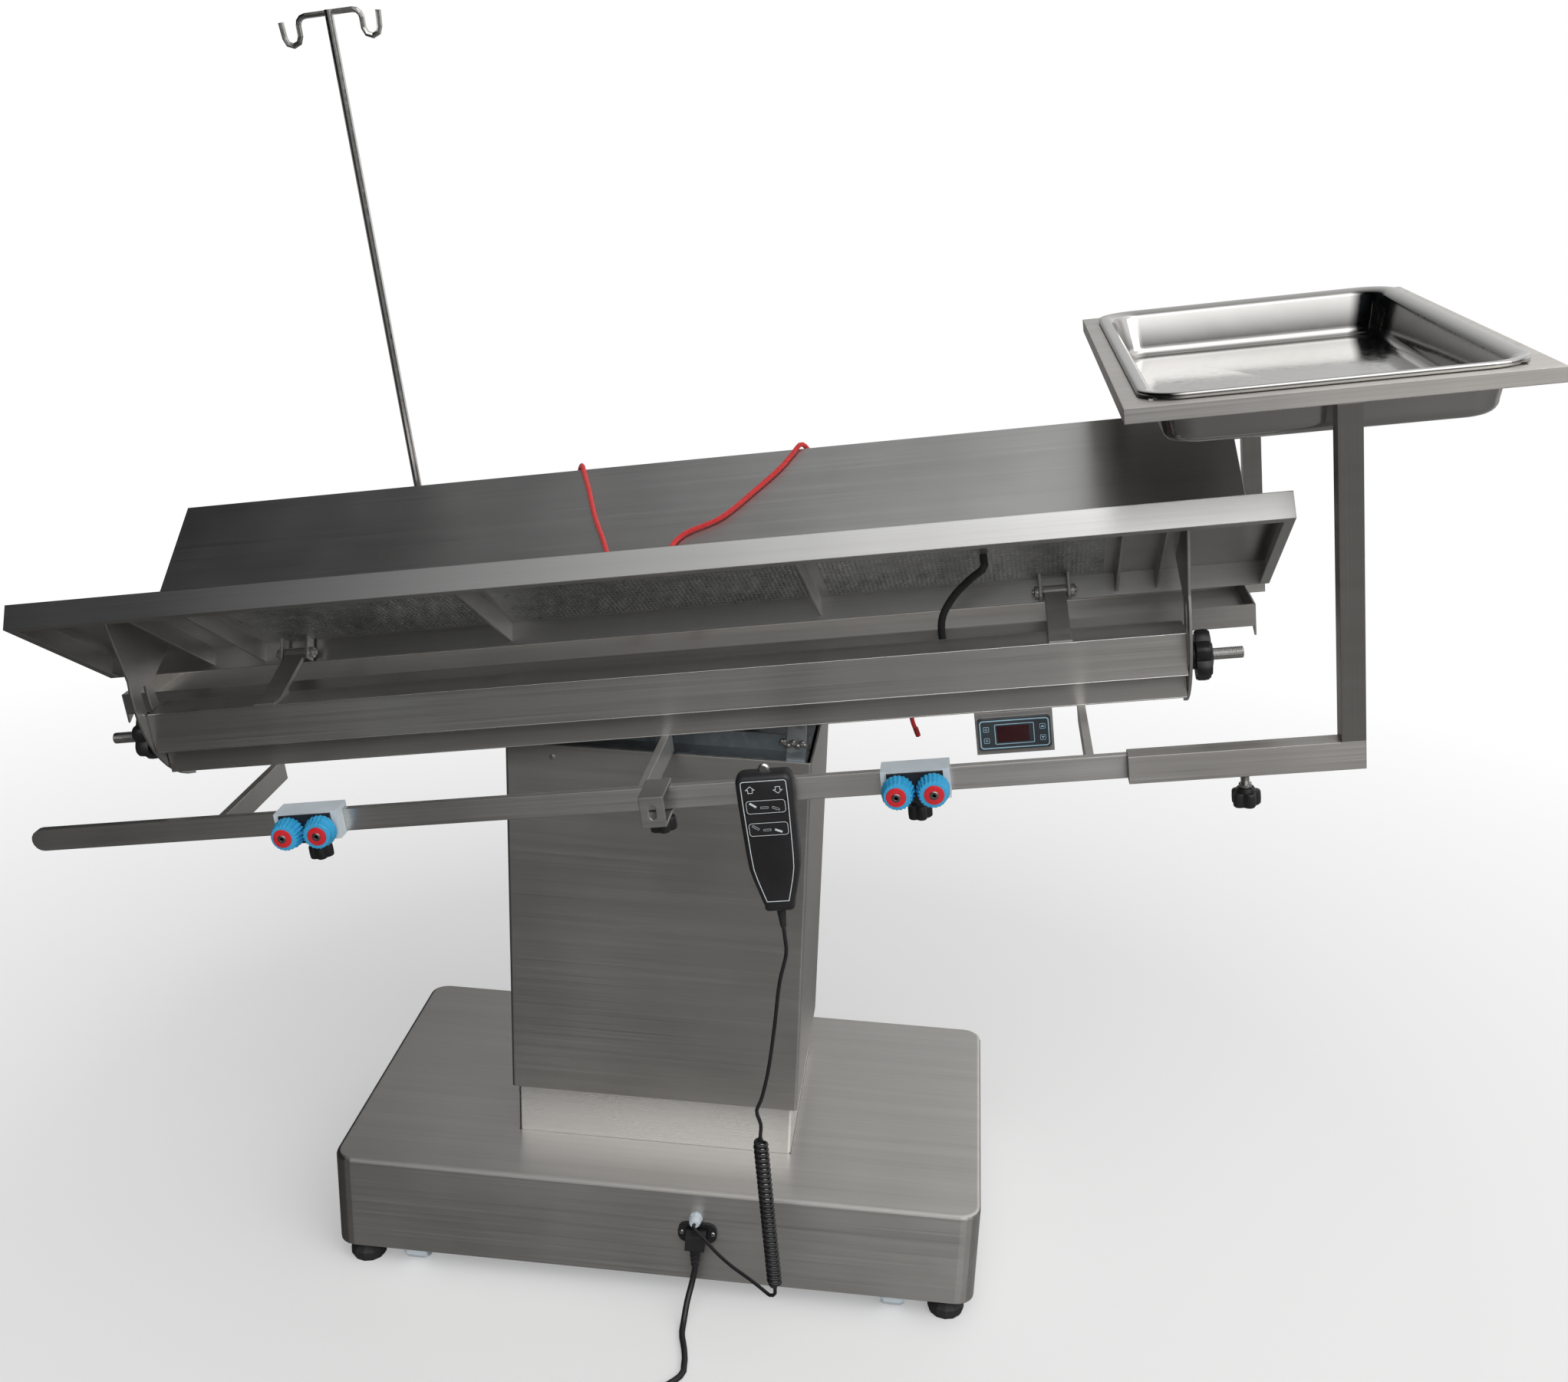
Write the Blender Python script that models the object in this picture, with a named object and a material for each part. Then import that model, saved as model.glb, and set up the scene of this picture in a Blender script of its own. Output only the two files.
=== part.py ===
"""Veterinary surgery table with two folding top panels, in metres, +Z up.

The base and its column stand on the floor. The outer sleeve rides up the inner one, the top frame
tilts on a pin in the column, and each top panel folds on the frame. The rest pose is the tilted,
half-folded one, with the right end up.
"""
import math

import bmesh
import bpy
from mathutils import Matrix, Vector

GAP = 0.0003
CUT_OVERRUN = 0.004
WELD_OVERLAP = 0.0006

BASE_LENGTH = 0.750
BASE_WIDTH = 0.410
BASE_BOTTOM = 0.027
BASE_TOP = 0.1455
BASE_CORNER_RADIUS = 0.022
BASE_EDGE_RADIUS = 0.004
BASE_SHEET = 0.002

CHASSIS_TUBE = 0.036
CHASSIS_TUBE_WIDTH = 0.040
CHASSIS_TOP = 0.086
CHASSIS_MARGIN = 0.012
CHASSIS_PLATE = 0.006
FOOT_PAD_RADIUS = 0.021
FOOT_PAD_HEIGHT = 0.020
FOOT_NECK_RADIUS = 0.013
FOOT_STUD_RADIUS = 0.006
FOOT_STUD_TOP = 0.080
FOOT_INSET_X = 0.031
FOOT_INSET_Y = 0.0245
WHEEL_RADIUS = 0.025
WHEEL_WIDTH = 0.028
WHEEL_CLEARANCE = 0.0015
WHEEL_INSET_X = 0.093
WHEEL_INSET_Y = 0.029
CHASSIS_INSET_Y = 0.086
AXLE_RADIUS = 0.005
AXLE_PLATE = 0.005

PIVOT_HEIGHT = 0.6612
SLEEVE_DROP = 0.0162
INNER_DROP = 0.1412
ACTUATOR_DROP = 0.100
FLOOR_DROP = 0.0292
WEB_DROP = 0.0062
LUG_RISE = 0.0478

COLUMN_SHIFT = -0.012
OUTER_LENGTH = 0.338
OUTER_WIDTH = 0.243
OUTER_BOTTOM = 0.209
OUTER_TOP = PIVOT_HEIGHT - SLEEVE_DROP
OUTER_CORNER_RADIUS = 0.003
SLEEVE_SHEET = 0.0025
INNER_LENGTH = 0.326
INNER_WIDTH = 0.231
INNER_TOP = PIVOT_HEIGHT - INNER_DROP

ACTUATOR_RADIUS = 0.030
ACTUATOR_FOOT = 0.058
ACTUATOR_TOP = INNER_TOP - ACTUATOR_DROP
ACTUATOR_FLOOR = 0.004
ACTUATOR_ROD_RADIUS = 0.014
ACTUATOR_ROD_FOOT = 0.125
ACTUATOR_MOTOR_RADIUS = 0.026
ACTUATOR_MOTOR_LENGTH = 0.120
ACTUATOR_MOTOR_SHIFT = 0.075
ACTUATOR_GEARBOX = 0.034

CHANNEL_SHEET = 0.004
CHANNEL_FLOOR = PIVOT_HEIGHT - FLOOR_DROP
CHANNEL_WEB_TOP = PIVOT_HEIGHT - WEB_DROP
CHANNEL_WEB_Y = 0.066
CHANNEL_END_GAP = 0.005
LUG_WIDTH = 0.021
LUG_TOP = PIVOT_HEIGHT + LUG_RISE
LUG_SHEET = 0.006
LUG_HOLE_RADIUS = 0.006
LUG_HOLE_DROP = 0.012

PIN_RADIUS = 0.008
PIVOT_LUG_Y = 0.046
PIVOT_LUG_HALF = 0.022
DRIVE_HALF = 0.0235
DRIVE_GAP = 0.002
DRIVE_MOTOR_RADIUS = 0.020
DRIVE_MOTOR_LENGTH = 0.075

TABLE_TILT = math.radians(8.73)
TABLE_SHIFT = -0.0083
TABLE_RISE = 0.055

BEAM_LENGTH = 1.104
BEAM_FACE_Y = 0.172
BEAM_STRIP_Y = 0.150
BEAM_INNER_Y = 0.128
BEAM_TOP = 0.034
BEAM_STEP = -0.0107
BEAM_BOTTOM = -0.0417
BEAM_SHEET = 0.0025
BEAM_END_PLATE = 0.003

CRADLE_HALF_LENGTH = 0.030
CRADLE_BOTTOM = -0.033
CRADLE_LUG_Y = 0.0535
CRADLE_LUG_SHEET = 0.007
CRADLE_LUG_HALF = 0.017

GUTTER_HALF_LENGTH = 0.632
GUTTER_HALF_WIDTH = 0.072
GUTTER_TOP = 0.028
GUTTER_BOTTOM = 0.004
GUTTER_SHEET = 0.0015
GUTTER_LEG_BOTTOM = -0.006
GUTTER_LEG_WIDTH = 0.020
STRAP_PLACES = (-0.33, 0.27)
STRAP_WIDTH = 0.030
STRAP_SHEET = 0.003

RAIL_FRONT_Y = 0.2964
RAIL_SHEET = 0.008
RAIL_HEIGHT = 0.0235
RAIL_CENTRE = -0.0535
RAIL_LEFT = -0.641
RAIL_RIGHT = 0.606
RAIL_ARM_PLACES = (-0.432, 0.007, 0.445)
RAIL_ARM_SHEET = 0.008
RAIL_ARM_INNER_Y = 0.134

PANEL_LENGTH = 1.300
PANEL_WIDTH = 0.2103
PANEL_RIM = 0.0270
PANEL_SHEET = 0.0018
PANEL_LIP = 0.010
PANEL_ANGLE = math.radians(32.63)
HINGE_Y = 0.065
HINGE_RISE = 0.058
HINGE_INSET = 0.014
HINGE_DEPTH = 0.020
HINGE_PLACES = (-0.418, 0.428)
HINGE_BOLT_RADIUS = 0.003
HINGE_BARREL_RADIUS = 0.0062
HINGE_BORE_CLEARANCE = 0.0004
HINGE_ARM_WIDTH = 0.024
HINGE_ARM_SHEET = 0.005
HINGE_ARM_FOOT_Y = 0.150
HINGE_EAR_SHEET = 0.003
HINGE_EAR_HALF = 0.008
HINGE_EAR_GAP = 0.0015
HINGE_BOLT_HEAD_RADIUS = 0.006
HINGE_BOLT_HEAD = 0.004
RIB_PLACES = (-0.523, -0.462, -0.172, 0.176, 0.493, 0.535)
RIB_SHEET = 0.003
RIB_DEPTH = 0.0225

SECTOR_SHEET = 0.003
SECTOR_GAP = 0.001
SECTOR_OUTER_RADIUS = 0.126
SECTOR_INNER_RADIUS = 0.078
SECTOR_TIP_ANGLE = math.radians(108.0)
SECTOR_TIP_INNER_ANGLE = math.radians(98.0)
SECTOR_REACH = 0.174
SECTOR_ROOT = 0.030
SLOT_RADIUS = 0.100
SLOT_WIDTH = 0.013
SLOT_START_ANGLE = math.radians(29.5)
SLOT_END_ANGLE = math.radians(83.5)
STUD_ANGLE = math.radians(34.0)
STUD_RADIUS = 0.006
STUD_END = 0.609
PANEL_KNOB_RADIUS = 0.0275
PANEL_KNOB_THICKNESS = 0.022
PANEL_KNOB_HUB_RADIUS = 0.015
PANEL_KNOB_HUB = 0.004

CLAMP_LEFT = 0.0123
CLAMP_WIDTH = 0.0245
CLAMP_FRONT_Y = 0.331
CLAMP_BACK_Y = 0.283
CLAMP_TOP = -0.0380
CLAMP_BOTTOM = -0.0695
CLAMP_SHEET = 0.0025
CLAMP_SLOT_WIDTH = 0.0075
CLAMP_SLOT_HEIGHT = 0.015
SMALL_KNOB_RADIUS = 0.014
SMALL_KNOB_THICKNESS = 0.019
SMALL_KNOB_NECK = 0.004
SMALL_KNOB_NECK_RADIUS = 0.008
SMALL_STUD_RADIUS = 0.004

CLEAT_PLACES = (-0.333, 0.279)
REAR_CLEAT_PLACES = (-0.316, 0.279)
CLEAT_WIDTH = 0.066
CLEAT_TOP = -0.036
CLEAT_BOTTOM = -0.066
CLEAT_FRONT_Y = 0.313
CLEAT_BACK_Y = 0.285
CLEAT_PLATE = 0.003
CLEAT_PLATE_MARGIN = 0.006
CLEAT_PLATE_TOP_MARGIN = 0.0015
CAM_SPACING = 0.036
CAM_RADIUS = 0.0155
CAM_THICKNESS = 0.017
CAM_ECCENTRICITY = 0.0015
CAM_PIN_RADIUS = 0.0045
CAM_HEAD_RADIUS = 0.0070
CAM_HEAD = 0.002
CAM_BORE_CLEARANCE = 0.0004
REAR_CAM_SPACING = 0.0400
CAM_TEETH = 14
REAR_CAM_TEETH = 8
CLEAT_KNOB_DROP = 0.013
CLEAT_KNOB_RADIUS = 0.0125

HANDSET_CENTRE = 0.134
HANDSET_WIDTH = 0.056
HANDSET_TOP = -0.027
HANDSET_BOTTOM = -0.173
HANDSET_BACK_Y = 0.2974
HANDSET_THICKNESS = 0.024
HANDSET_TAIL_WIDTH = 0.036
HANDSET_CORNER = 0.007
HOOK_SHEET = 0.003
HOOK_WIDTH = 0.030
RELIEF_LENGTH = 0.022
RELIEF_TOP_RADIUS = 0.0052
RELIEF_END_RADIUS = 0.0034
ROCKER_WIDTH = 0.040
ROCKER_HEIGHT = 0.015
ROCKER_THICKNESS = 0.003
ROCKER_DROPS = (0.0325, 0.0560)
ROCKER_RECESS_GAP = 0.0005

CONTROLLER_LEFT = 0.335
CONTROLLER_WIDTH = 0.080
CONTROLLER_HEIGHT = 0.046
CONTROLLER_FRONT_Y = 0.152
CONTROLLER_DEPTH = 0.056
CONTROLLER_FACE_WIDTH = 0.075
CONTROLLER_FACE_HEIGHT = 0.0345
CONTROLLER_FACE = 0.004
KEY_WIDTH = 0.0062
KEY_HEIGHT = 0.0062
KEY_THICKNESS = 0.002
KEY_PLACE_X = 0.0290
KEY_PLACE_Z = 0.0062
KEY_GAP = 0.0006

TRAY_TUBE_LEFT = 0.4795
TRAY_TUBE_FRONT_Y = 0.3075
TRAY_TUBE_DEPTH = 0.021
TRAY_TUBE_HEIGHT = 0.0275
TRAY_TUBE_SHEET = 0.0015
POST_LEFT = 0.6740
POST_WIDTH = 0.022
TRAY_FRAME_TOP = 0.2885
TRAY_FRAME_HEIGHT = 0.014
TRAY_FRAME_LEFT = 0.4925
TRAY_FRAME_RIGHT = 0.8640
TRAY_FRAME_HALF_WIDTH = 0.3085
TRAY_FRAME_BAR = 0.025
TRAY_RIM_MARGIN = 0.016
TRAY_RIM_WIDTH = 0.014
TRAY_RIM_RISE = 0.006
TRAY_DEPTH = 0.047
TRAY_SHEET = 0.0015
TRAY_CORNER = 0.040
TRAY_WALL_SLOPE = 0.008
TRAY_KNOB_PLACE = 0.588
TRAY_KNOB_DROP = 0.020

POLE_PLACE = -0.376
POLE_RADIUS = 0.005
POLE_TOP = 0.748
POLE_FOOT_WIDTH = 0.030
POLE_FOOT_FRONT_Y = 0.322
POLE_Y = 0.3120
HOOK_BAR_RADIUS = 0.0035

INLET_X = 0.0555
INLET_HEIGHT = 0.0930
INLET_WIDTH = 0.045
INLET_TALL = 0.026
INLET_FLANGE = 0.004
INLET_SOCKET_WIDTH = 0.028
INLET_SOCKET_TALL = 0.020
INLET_SOCKET_DEPTH = 0.030
INLET_WALL = 0.002
GLAND_X = 0.0533
GLAND_RISE = 0.0192
GLAND_HEIGHT = INLET_HEIGHT + GLAND_RISE
GLAND_RADIUS = 0.0064
GLAND_LENGTH = 0.014
CONNECTOR_WIDTH = 0.0225
CONNECTOR_BODY = 0.022
CONNECTOR_HALF_TALL = 0.0085
CONNECTOR_RELIEF = 0.024
MAINS_RADIUS = 0.0035
HANDSET_CORD_RADIUS = 0.002
ROPE_RADIUS = 0.003
ROPE_SIDE_SHARE = 1.9
ROPE_FOOT_SHARE = 1.1
ROPE_LIFT_SHARE = 2.5
ROPE_HIGH_SHARE = 0.25
ROPE_TOP_SHARE = 1.15
CABLE_RADIUS = 0.004
CORD_STEP = 5
ROPE_STEP = 6

CURL_TURNS = 30
CURL_POINTS = 8
CURL_RADIUS = 0.0062
CURL_TOP = (0.134, -0.309, 0.301)
CURL_BOTTOM = (0.1550, -0.302, 0.0990)

COIL_RADIUS = 0.038
COIL_CENTRE = (0.0680, -0.4290)
COIL_TURNS = 5
COIL_POINTS = 24
COIL_LAYERS = 2
COIL_STEP = 0.0084

PLUG_RADIUS = 0.0117
PLUG_LENGTH = 0.034
PLUG_RELIEF = 0.030
PLUG_PIN_RADIUS = 0.0022
PLUG_PIN_LENGTH = 0.019
PLUG_PIN_SPACING = 0.0127


def clear_scene():
    for old in list(bpy.data.objects):
        bpy.data.objects.remove(old, do_unlink=True)


def material(name, colour, metallic, roughness):
    found = bpy.data.materials.get(name)
    if found:
        return found
    made = bpy.data.materials.new(name)
    made.use_nodes = True
    shader = made.node_tree.nodes["Principled BSDF"]
    shader.inputs["Base Color"].default_value = (*colour, 1.0)
    shader.inputs["Metallic"].default_value = metallic
    shader.inputs["Roughness"].default_value = roughness
    return made


def steel():
    return material("brushed_stainless", (0.56, 0.54, 0.51), 1.0, 0.32)


def polished():
    return material("polished_stainless", (0.72, 0.70, 0.67), 1.0, 0.12)


def galvanised():
    return material("galvanised_steel", (0.38, 0.42, 0.45), 1.0, 0.45)


def black_plastic():
    return material("black_plastic", (0.02, 0.02, 0.022), 0.0, 0.45)


def black_rubber():
    return material("black_rubber", (0.025, 0.025, 0.025), 0.0, 0.75)


def white_nylon():
    return material("white_nylon", (0.82, 0.84, 0.82), 0.0, 0.45)


def blue_plastic():
    return material("blue_plastic", (0.03, 0.42, 0.75), 0.0, 0.4)


def red_braid():
    return material("red_braid", (0.62, 0.03, 0.03), 0.0, 0.8)


def mesh_object(name, bm, look=None, parent=None):
    """An object from a bmesh, with its faces pointing out."""
    bmesh.ops.remove_doubles(bm, verts=bm.verts, dist=GAP / 1000)
    bmesh.ops.recalc_face_normals(bm, faces=bm.faces)
    mesh = bpy.data.meshes.new(name)
    bm.to_mesh(mesh)
    bm.free()
    made = bpy.data.objects.new(name, mesh)
    bpy.context.collection.objects.link(made)
    if look:
        mesh.materials.append(look)
    made.parent = parent
    return made


def loft(name, loops, look=None, parent=None):
    """A closed body through loops of equal count, capped at both ends."""
    bm = bmesh.new()
    rings = [[bm.verts.new(point) for point in loop] for loop in loops]
    count = len(rings[0])
    for low, high in zip(rings, rings[1:]):
        for i in range(count):
            j = (i + 1) % count
            bm.faces.new((low[i], low[j], high[j], high[i]))
    bm.faces.new(rings[0])
    bm.faces.new(rings[-1])
    return mesh_object(name, bm, look, parent)


def placed(axis, a, b, along):
    """A point from two outline coordinates and one along the extrusion axis."""
    if axis == "X":
        return (along, a, b)
    if axis == "Y":
        return (a, along, b)
    return (a, b, along)


def prism(name, outline, axis, start, end, look=None, parent=None):
    """An outline, in the two coordinates other than axis, extruded from start to end."""
    loops = [[placed(axis, a, b, along) for a, b in outline] for along in (start, end)]
    return loft(name, loops, look, parent)


def block(name, low, high, look=None, parent=None):
    x0, y0, z0 = low
    x1, y1, z1 = high
    outline = [(x0, y0), (x1, y0), (x1, y1), (x0, y1)]
    return prism(name, outline, "Z", z0, z1, look, parent)


def rounded(half_a, half_b, radius, steps=5, centre=(0.0, 0.0)):
    """A rounded rectangle about a centre."""
    points = []
    for turn, (a, b) in enumerate(((1, 1), (-1, 1), (-1, -1), (1, -1))):
        for step in range(steps):
            angle = math.pi / 2 * (turn + step / (steps - 1))
            points.append((centre[0] + a * (half_a - radius) + radius * math.cos(angle),
                           centre[1] + b * (half_b - radius) + radius * math.sin(angle)))
    return points


def circle(radius, sides, centre=(0.0, 0.0)):
    return [(centre[0] + radius * math.cos(math.tau * i / sides),
             centre[1] + radius * math.sin(math.tau * i / sides)) for i in range(sides)]


def arc(centre, radius, start, end, steps):
    return [(centre[0] + radius * math.cos(start + (end - start) * i / steps),
             centre[1] + radius * math.sin(start + (end - start) * i / steps))
            for i in range(steps + 1)]


def turned(name, profile, axis, centre, sides=24, look=None, parent=None):
    """A body of revolution from (radius, along) pairs about an axis through a centre."""
    loops = []
    for radius, along in profile:
        loops.append([placed(axis, a, b, along) for a, b in circle(radius, sides, centre)])
    made = loft(name, loops, look, parent)
    smooth(made)
    return made


def star_outline(radius, lobes=6, points=4, depth_share=0.13):
    """The wavy rim of a star knob."""
    total = lobes * points
    outline = []
    for i in range(total):
        angle = math.tau * i / total
        reach = radius * (1 - depth_share + depth_share * math.cos(lobes * angle))
        outline.append((reach * math.cos(angle), reach * math.sin(angle)))
    return outline


def smooth(made, angle=math.radians(35)):
    made.data.shade_smooth()
    made.data.set_sharp_from_angle(angle=angle)


def combine(target, others, operation):
    """Applies a Boolean of each other body on the target, both in the target's own frame."""
    parent = target.parent
    target.parent = None
    for other in others:
        step = target.modifiers.new(other.name, "BOOLEAN")
        step.operation = operation
        step.object = other
        step.solver = "EXACT"
    bpy.context.view_layer.update()
    result = bpy.data.meshes.new_from_object(
        target.evaluated_get(bpy.context.evaluated_depsgraph_get()))
    target.modifiers.clear()
    old = target.data
    target.data = result
    result.name = target.name
    bpy.data.meshes.remove(old)
    for other in others:
        bpy.data.objects.remove(other, do_unlink=True)
    clean(result)
    target.parent = parent
    return target


def clean(mesh):
    """Merges the tiny edges that a Boolean can leave."""
    bm = bmesh.new()
    bm.from_mesh(mesh)
    bmesh.ops.remove_doubles(bm, verts=bm.verts, dist=GAP / 30)
    bmesh.ops.dissolve_degenerate(bm, dist=GAP / 30, edges=bm.edges)
    bm.to_mesh(mesh)
    bm.free()


def cut(target, *others):
    return combine(target, others, "DIFFERENCE")


def weld(target, *others):
    return combine(target, others, "UNION")


def empty(name, place, parent=None, rotation=(0.0, 0.0, 0.0)):
    made = bpy.data.objects.new(name, None)
    made.empty_display_size = BASE_TOP / 4
    bpy.context.collection.objects.link(made)
    made.parent = parent
    made.location = place
    made.rotation_euler = rotation
    return made


def smooth_path(points, spacing):
    """A smooth curve through hand-chosen points, read at even steps and closer at both ends."""
    fine = []
    places = [Vector(p) for p in points]
    ends = [places[0] * 2 - places[1]] + places + [places[-1] * 2 - places[-2]]
    for a, b, c, d in zip(ends, ends[1:], ends[2:], ends[3:]):
        for step in range(24):
            t = step / 24
            fine.append(((b * 2) + (c - a) * t + (a * 2 - b * 5 + c * 4 - d) * t ** 2
                         + (b * 3 - a - c * 3 + d) * t ** 3) / 2)
    fine.append(places[-1])
    length = sum((q - p).length for p, q in zip(fine, fine[1:]))
    count = max(3, round(length / spacing))
    stations = [length * i / count for i in range(count + 1)]
    lead = stations[1] / 2
    return resample(fine, [0.0, lead] + stations[1:-1] + [length - lead, length])


def resample(fine, stations):
    """Points of a fine path at the given distances along it."""
    made = []
    run = 0.0
    index = 0
    for station in stations:
        while index < len(fine) - 2 and run + (fine[index + 1] - fine[index]).length < station:
            run += (fine[index + 1] - fine[index]).length
            index += 1
        edge = fine[index + 1] - fine[index]
        share = (station - run) / edge.length if edge.length else 0.0
        made.append(fine[index] + edge * min(1.0, share))
    return made


def tube(name, points, radius, look, parent=None, sides_level=2):
    """A cord: a poly curve with a round bevel and closed ends."""
    curve = bpy.data.curves.new(name, "CURVE")
    curve.dimensions = "3D"
    curve.bevel_depth = radius
    curve.bevel_resolution = sides_level
    curve.use_fill_caps = True
    spline = curve.splines.new("POLY")
    spline.points.add(len(points) - 1)
    for point, place in zip(spline.points, points):
        point.co = (*place, 1.0)
    curve.materials.append(look)
    made = bpy.data.objects.new(name, curve)
    bpy.context.collection.objects.link(made)
    made.parent = parent
    return made


def rod(name, points, radius, look=None, parent=None, sides=10):
    """A bent round bar as a mesh: rings square to the path."""
    places = [Vector(p) for p in points]
    loops = []
    side = None
    for i, place in enumerate(places):
        before = places[max(0, i - 1)]
        after = places[min(len(places) - 1, i + 1)]
        ahead = (after - before).normalized()
        if side is None:
            side = ahead.orthogonal().normalized()
        side = (side - ahead * side.dot(ahead)).normalized()
        up = ahead.cross(side)
        loops.append([place + (side * math.cos(math.tau * k / sides)
                               + up * math.sin(math.tau * k / sides)) * radius
                      for k in range(sides)])
    made = loft(name, loops, look, parent)
    smooth(made)
    return made


def base_cover(parent):
    half_x, half_y = BASE_LENGTH / 2, BASE_WIDTH / 2
    loops = []
    for inset, z in ((0.0, BASE_BOTTOM), (0.0, BASE_TOP - BASE_EDGE_RADIUS),
                     (BASE_EDGE_RADIUS * 0.3, BASE_TOP - BASE_EDGE_RADIUS * 0.3),
                     (BASE_EDGE_RADIUS, BASE_TOP)):
        outline = rounded(half_x - inset, half_y - inset, BASE_CORNER_RADIUS - inset, 6)
        loops.append([(x, y, z) for x, y in outline])
    cover = loft("base_cover", loops, steel(), parent)
    inside = prism("inside", rounded(half_x - BASE_SHEET, half_y - BASE_SHEET,
                                     BASE_CORNER_RADIUS - BASE_SHEET, 6),
                   "Z", BASE_BOTTOM - CUT_OVERRUN, BASE_TOP - BASE_SHEET)
    hole = block("hole", (COLUMN_SHIFT - INNER_LENGTH / 2 - GAP, -INNER_WIDTH / 2 - GAP,
                          BASE_TOP - BASE_SHEET - CUT_OVERRUN),
                 (COLUMN_SHIFT + INNER_LENGTH / 2 + GAP, INNER_WIDTH / 2 + GAP,
                  BASE_TOP + CUT_OVERRUN))
    socket = block("socket", (INLET_X - INLET_SOCKET_WIDTH / 2 - GAP, -half_y - CUT_OVERRUN,
                              INLET_HEIGHT - INLET_SOCKET_TALL / 2 - GAP),
                   (INLET_X + INLET_SOCKET_WIDTH / 2 + GAP, -half_y + BASE_SHEET + CUT_OVERRUN,
                    INLET_HEIGHT + INLET_SOCKET_TALL / 2 + GAP))
    cut(cover, inside, hole, socket)
    return cover


def base_frame(parent):
    """Welded chassis: two long tubes, two cross tubes, foot pads, axle plates and floor plates."""
    half_x = BASE_LENGTH / 2 - CHASSIS_MARGIN
    foot_y = BASE_WIDTH / 2 - FOOT_INSET_Y
    wheel_y = BASE_WIDTH / 2 - WHEEL_INSET_Y
    low, high = CHASSIS_TOP - CHASSIS_TUBE, CHASSIS_TOP
    half_tube = CHASSIS_TUBE_WIDTH / 2
    inner_y = BASE_WIDTH / 2 - CHASSIS_INSET_Y
    frame = block("base_frame", (-half_x, -inner_y - half_tube, low),
                  (half_x, -inner_y + half_tube, high), galvanised(), parent)
    parts = [block("long", (-half_x, inner_y - half_tube, low), (half_x, inner_y + half_tube, high))]
    foot_x = BASE_LENGTH / 2 - FOOT_INSET_X
    for side in (-1, 1):
        x = side * foot_x
        parts.append(block("end", (x - half_tube / 2 - WELD_OVERLAP, -foot_y - half_tube / 2, low + GAP),
                           (x + half_tube / 2, foot_y + half_tube / 2, high + WELD_OVERLAP)))
        cross_x = COLUMN_SHIFT + side * (INNER_LENGTH / 2 - half_tube)
        parts.append(block("cross", (cross_x - half_tube, -inner_y, low + WELD_OVERLAP),
                           (cross_x + half_tube, inner_y, high - WELD_OVERLAP)))
    parts.append(block("actuator_plate",
                       (COLUMN_SHIFT - INNER_LENGTH / 2 + half_tube, -ACTUATOR_RADIUS * 1.5,
                        ACTUATOR_FOOT - GAP - CHASSIS_PLATE),
                       (COLUMN_SHIFT + INNER_LENGTH / 2 - half_tube, ACTUATOR_RADIUS * 1.5,
                        ACTUATOR_FOOT - GAP)))
    weld(frame, *parts)
    plates = []
    wheel_x = BASE_LENGTH / 2 - WHEEL_INSET_X
    axle_z = WHEEL_RADIUS + WHEEL_CLEARANCE
    plate_low = axle_z - AXLE_RADIUS * 2
    for side_y in (-1, 1):
        axle_y = side_y * wheel_y
        for side_x in (-1, 1):
            x = side_x * (wheel_x - WHEEL_WIDTH / 2 - AXLE_PLATE)
            reach = side_y * (inner_y + half_tube - WELD_OVERLAP * 2)
            plates.append(block("axle_plate",
                                (x - AXLE_PLATE / 2, min(axle_y + side_y * AXLE_RADIUS * 2, reach),
                                 plate_low),
                                (x + AXLE_PLATE / 2, max(axle_y + side_y * AXLE_RADIUS * 2, reach),
                                 high - WELD_OVERLAP)))
    weld(frame, *plates)
    bores = []
    for side_y in (-1, 1):
        bores.append(prism("axle_bore", circle(AXLE_RADIUS + GAP, 12, (side_y * wheel_y, axle_z)),
                           "X", -half_x, half_x))
        for side_x in (-1, 1):
            bores.append(prism("foot_bore",
                               circle(FOOT_STUD_RADIUS + GAP, 16, (side_x * foot_x, side_y * foot_y)),
                               "Z", low - CUT_OVERRUN, high + CUT_OVERRUN))
    cut(frame, *bores)
    return frame


def levelling_feet(parents):
    foot_x = BASE_LENGTH / 2 - FOOT_INSET_X
    foot_y = BASE_WIDTH / 2 - FOOT_INSET_Y
    profile = [(FOOT_PAD_RADIUS * 0.9, 0.0), (FOOT_PAD_RADIUS, FOOT_PAD_HEIGHT * 0.2),
               (FOOT_PAD_RADIUS, FOOT_PAD_HEIGHT * 0.6),
               (FOOT_NECK_RADIUS, FOOT_PAD_HEIGHT),
               (FOOT_NECK_RADIUS, FOOT_PAD_HEIGHT * 1.4),
               (FOOT_STUD_RADIUS, FOOT_PAD_HEIGHT * 1.4),
               (FOOT_STUD_RADIUS, FOOT_STUD_TOP)]
    for word_y, side_y in (("front", -1), ("rear", 1)):
        for word_x, side_x in (("left", -1), ("right", 1)):
            name = f"levelling_foot_{word_y}_{word_x}"
            axis = empty(name + "_axis", (side_x * foot_x, side_y * foot_y, 0.0), parents)
            turned(name, profile, "Z", (0.0, 0.0), 12, black_rubber(), axis)


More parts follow.
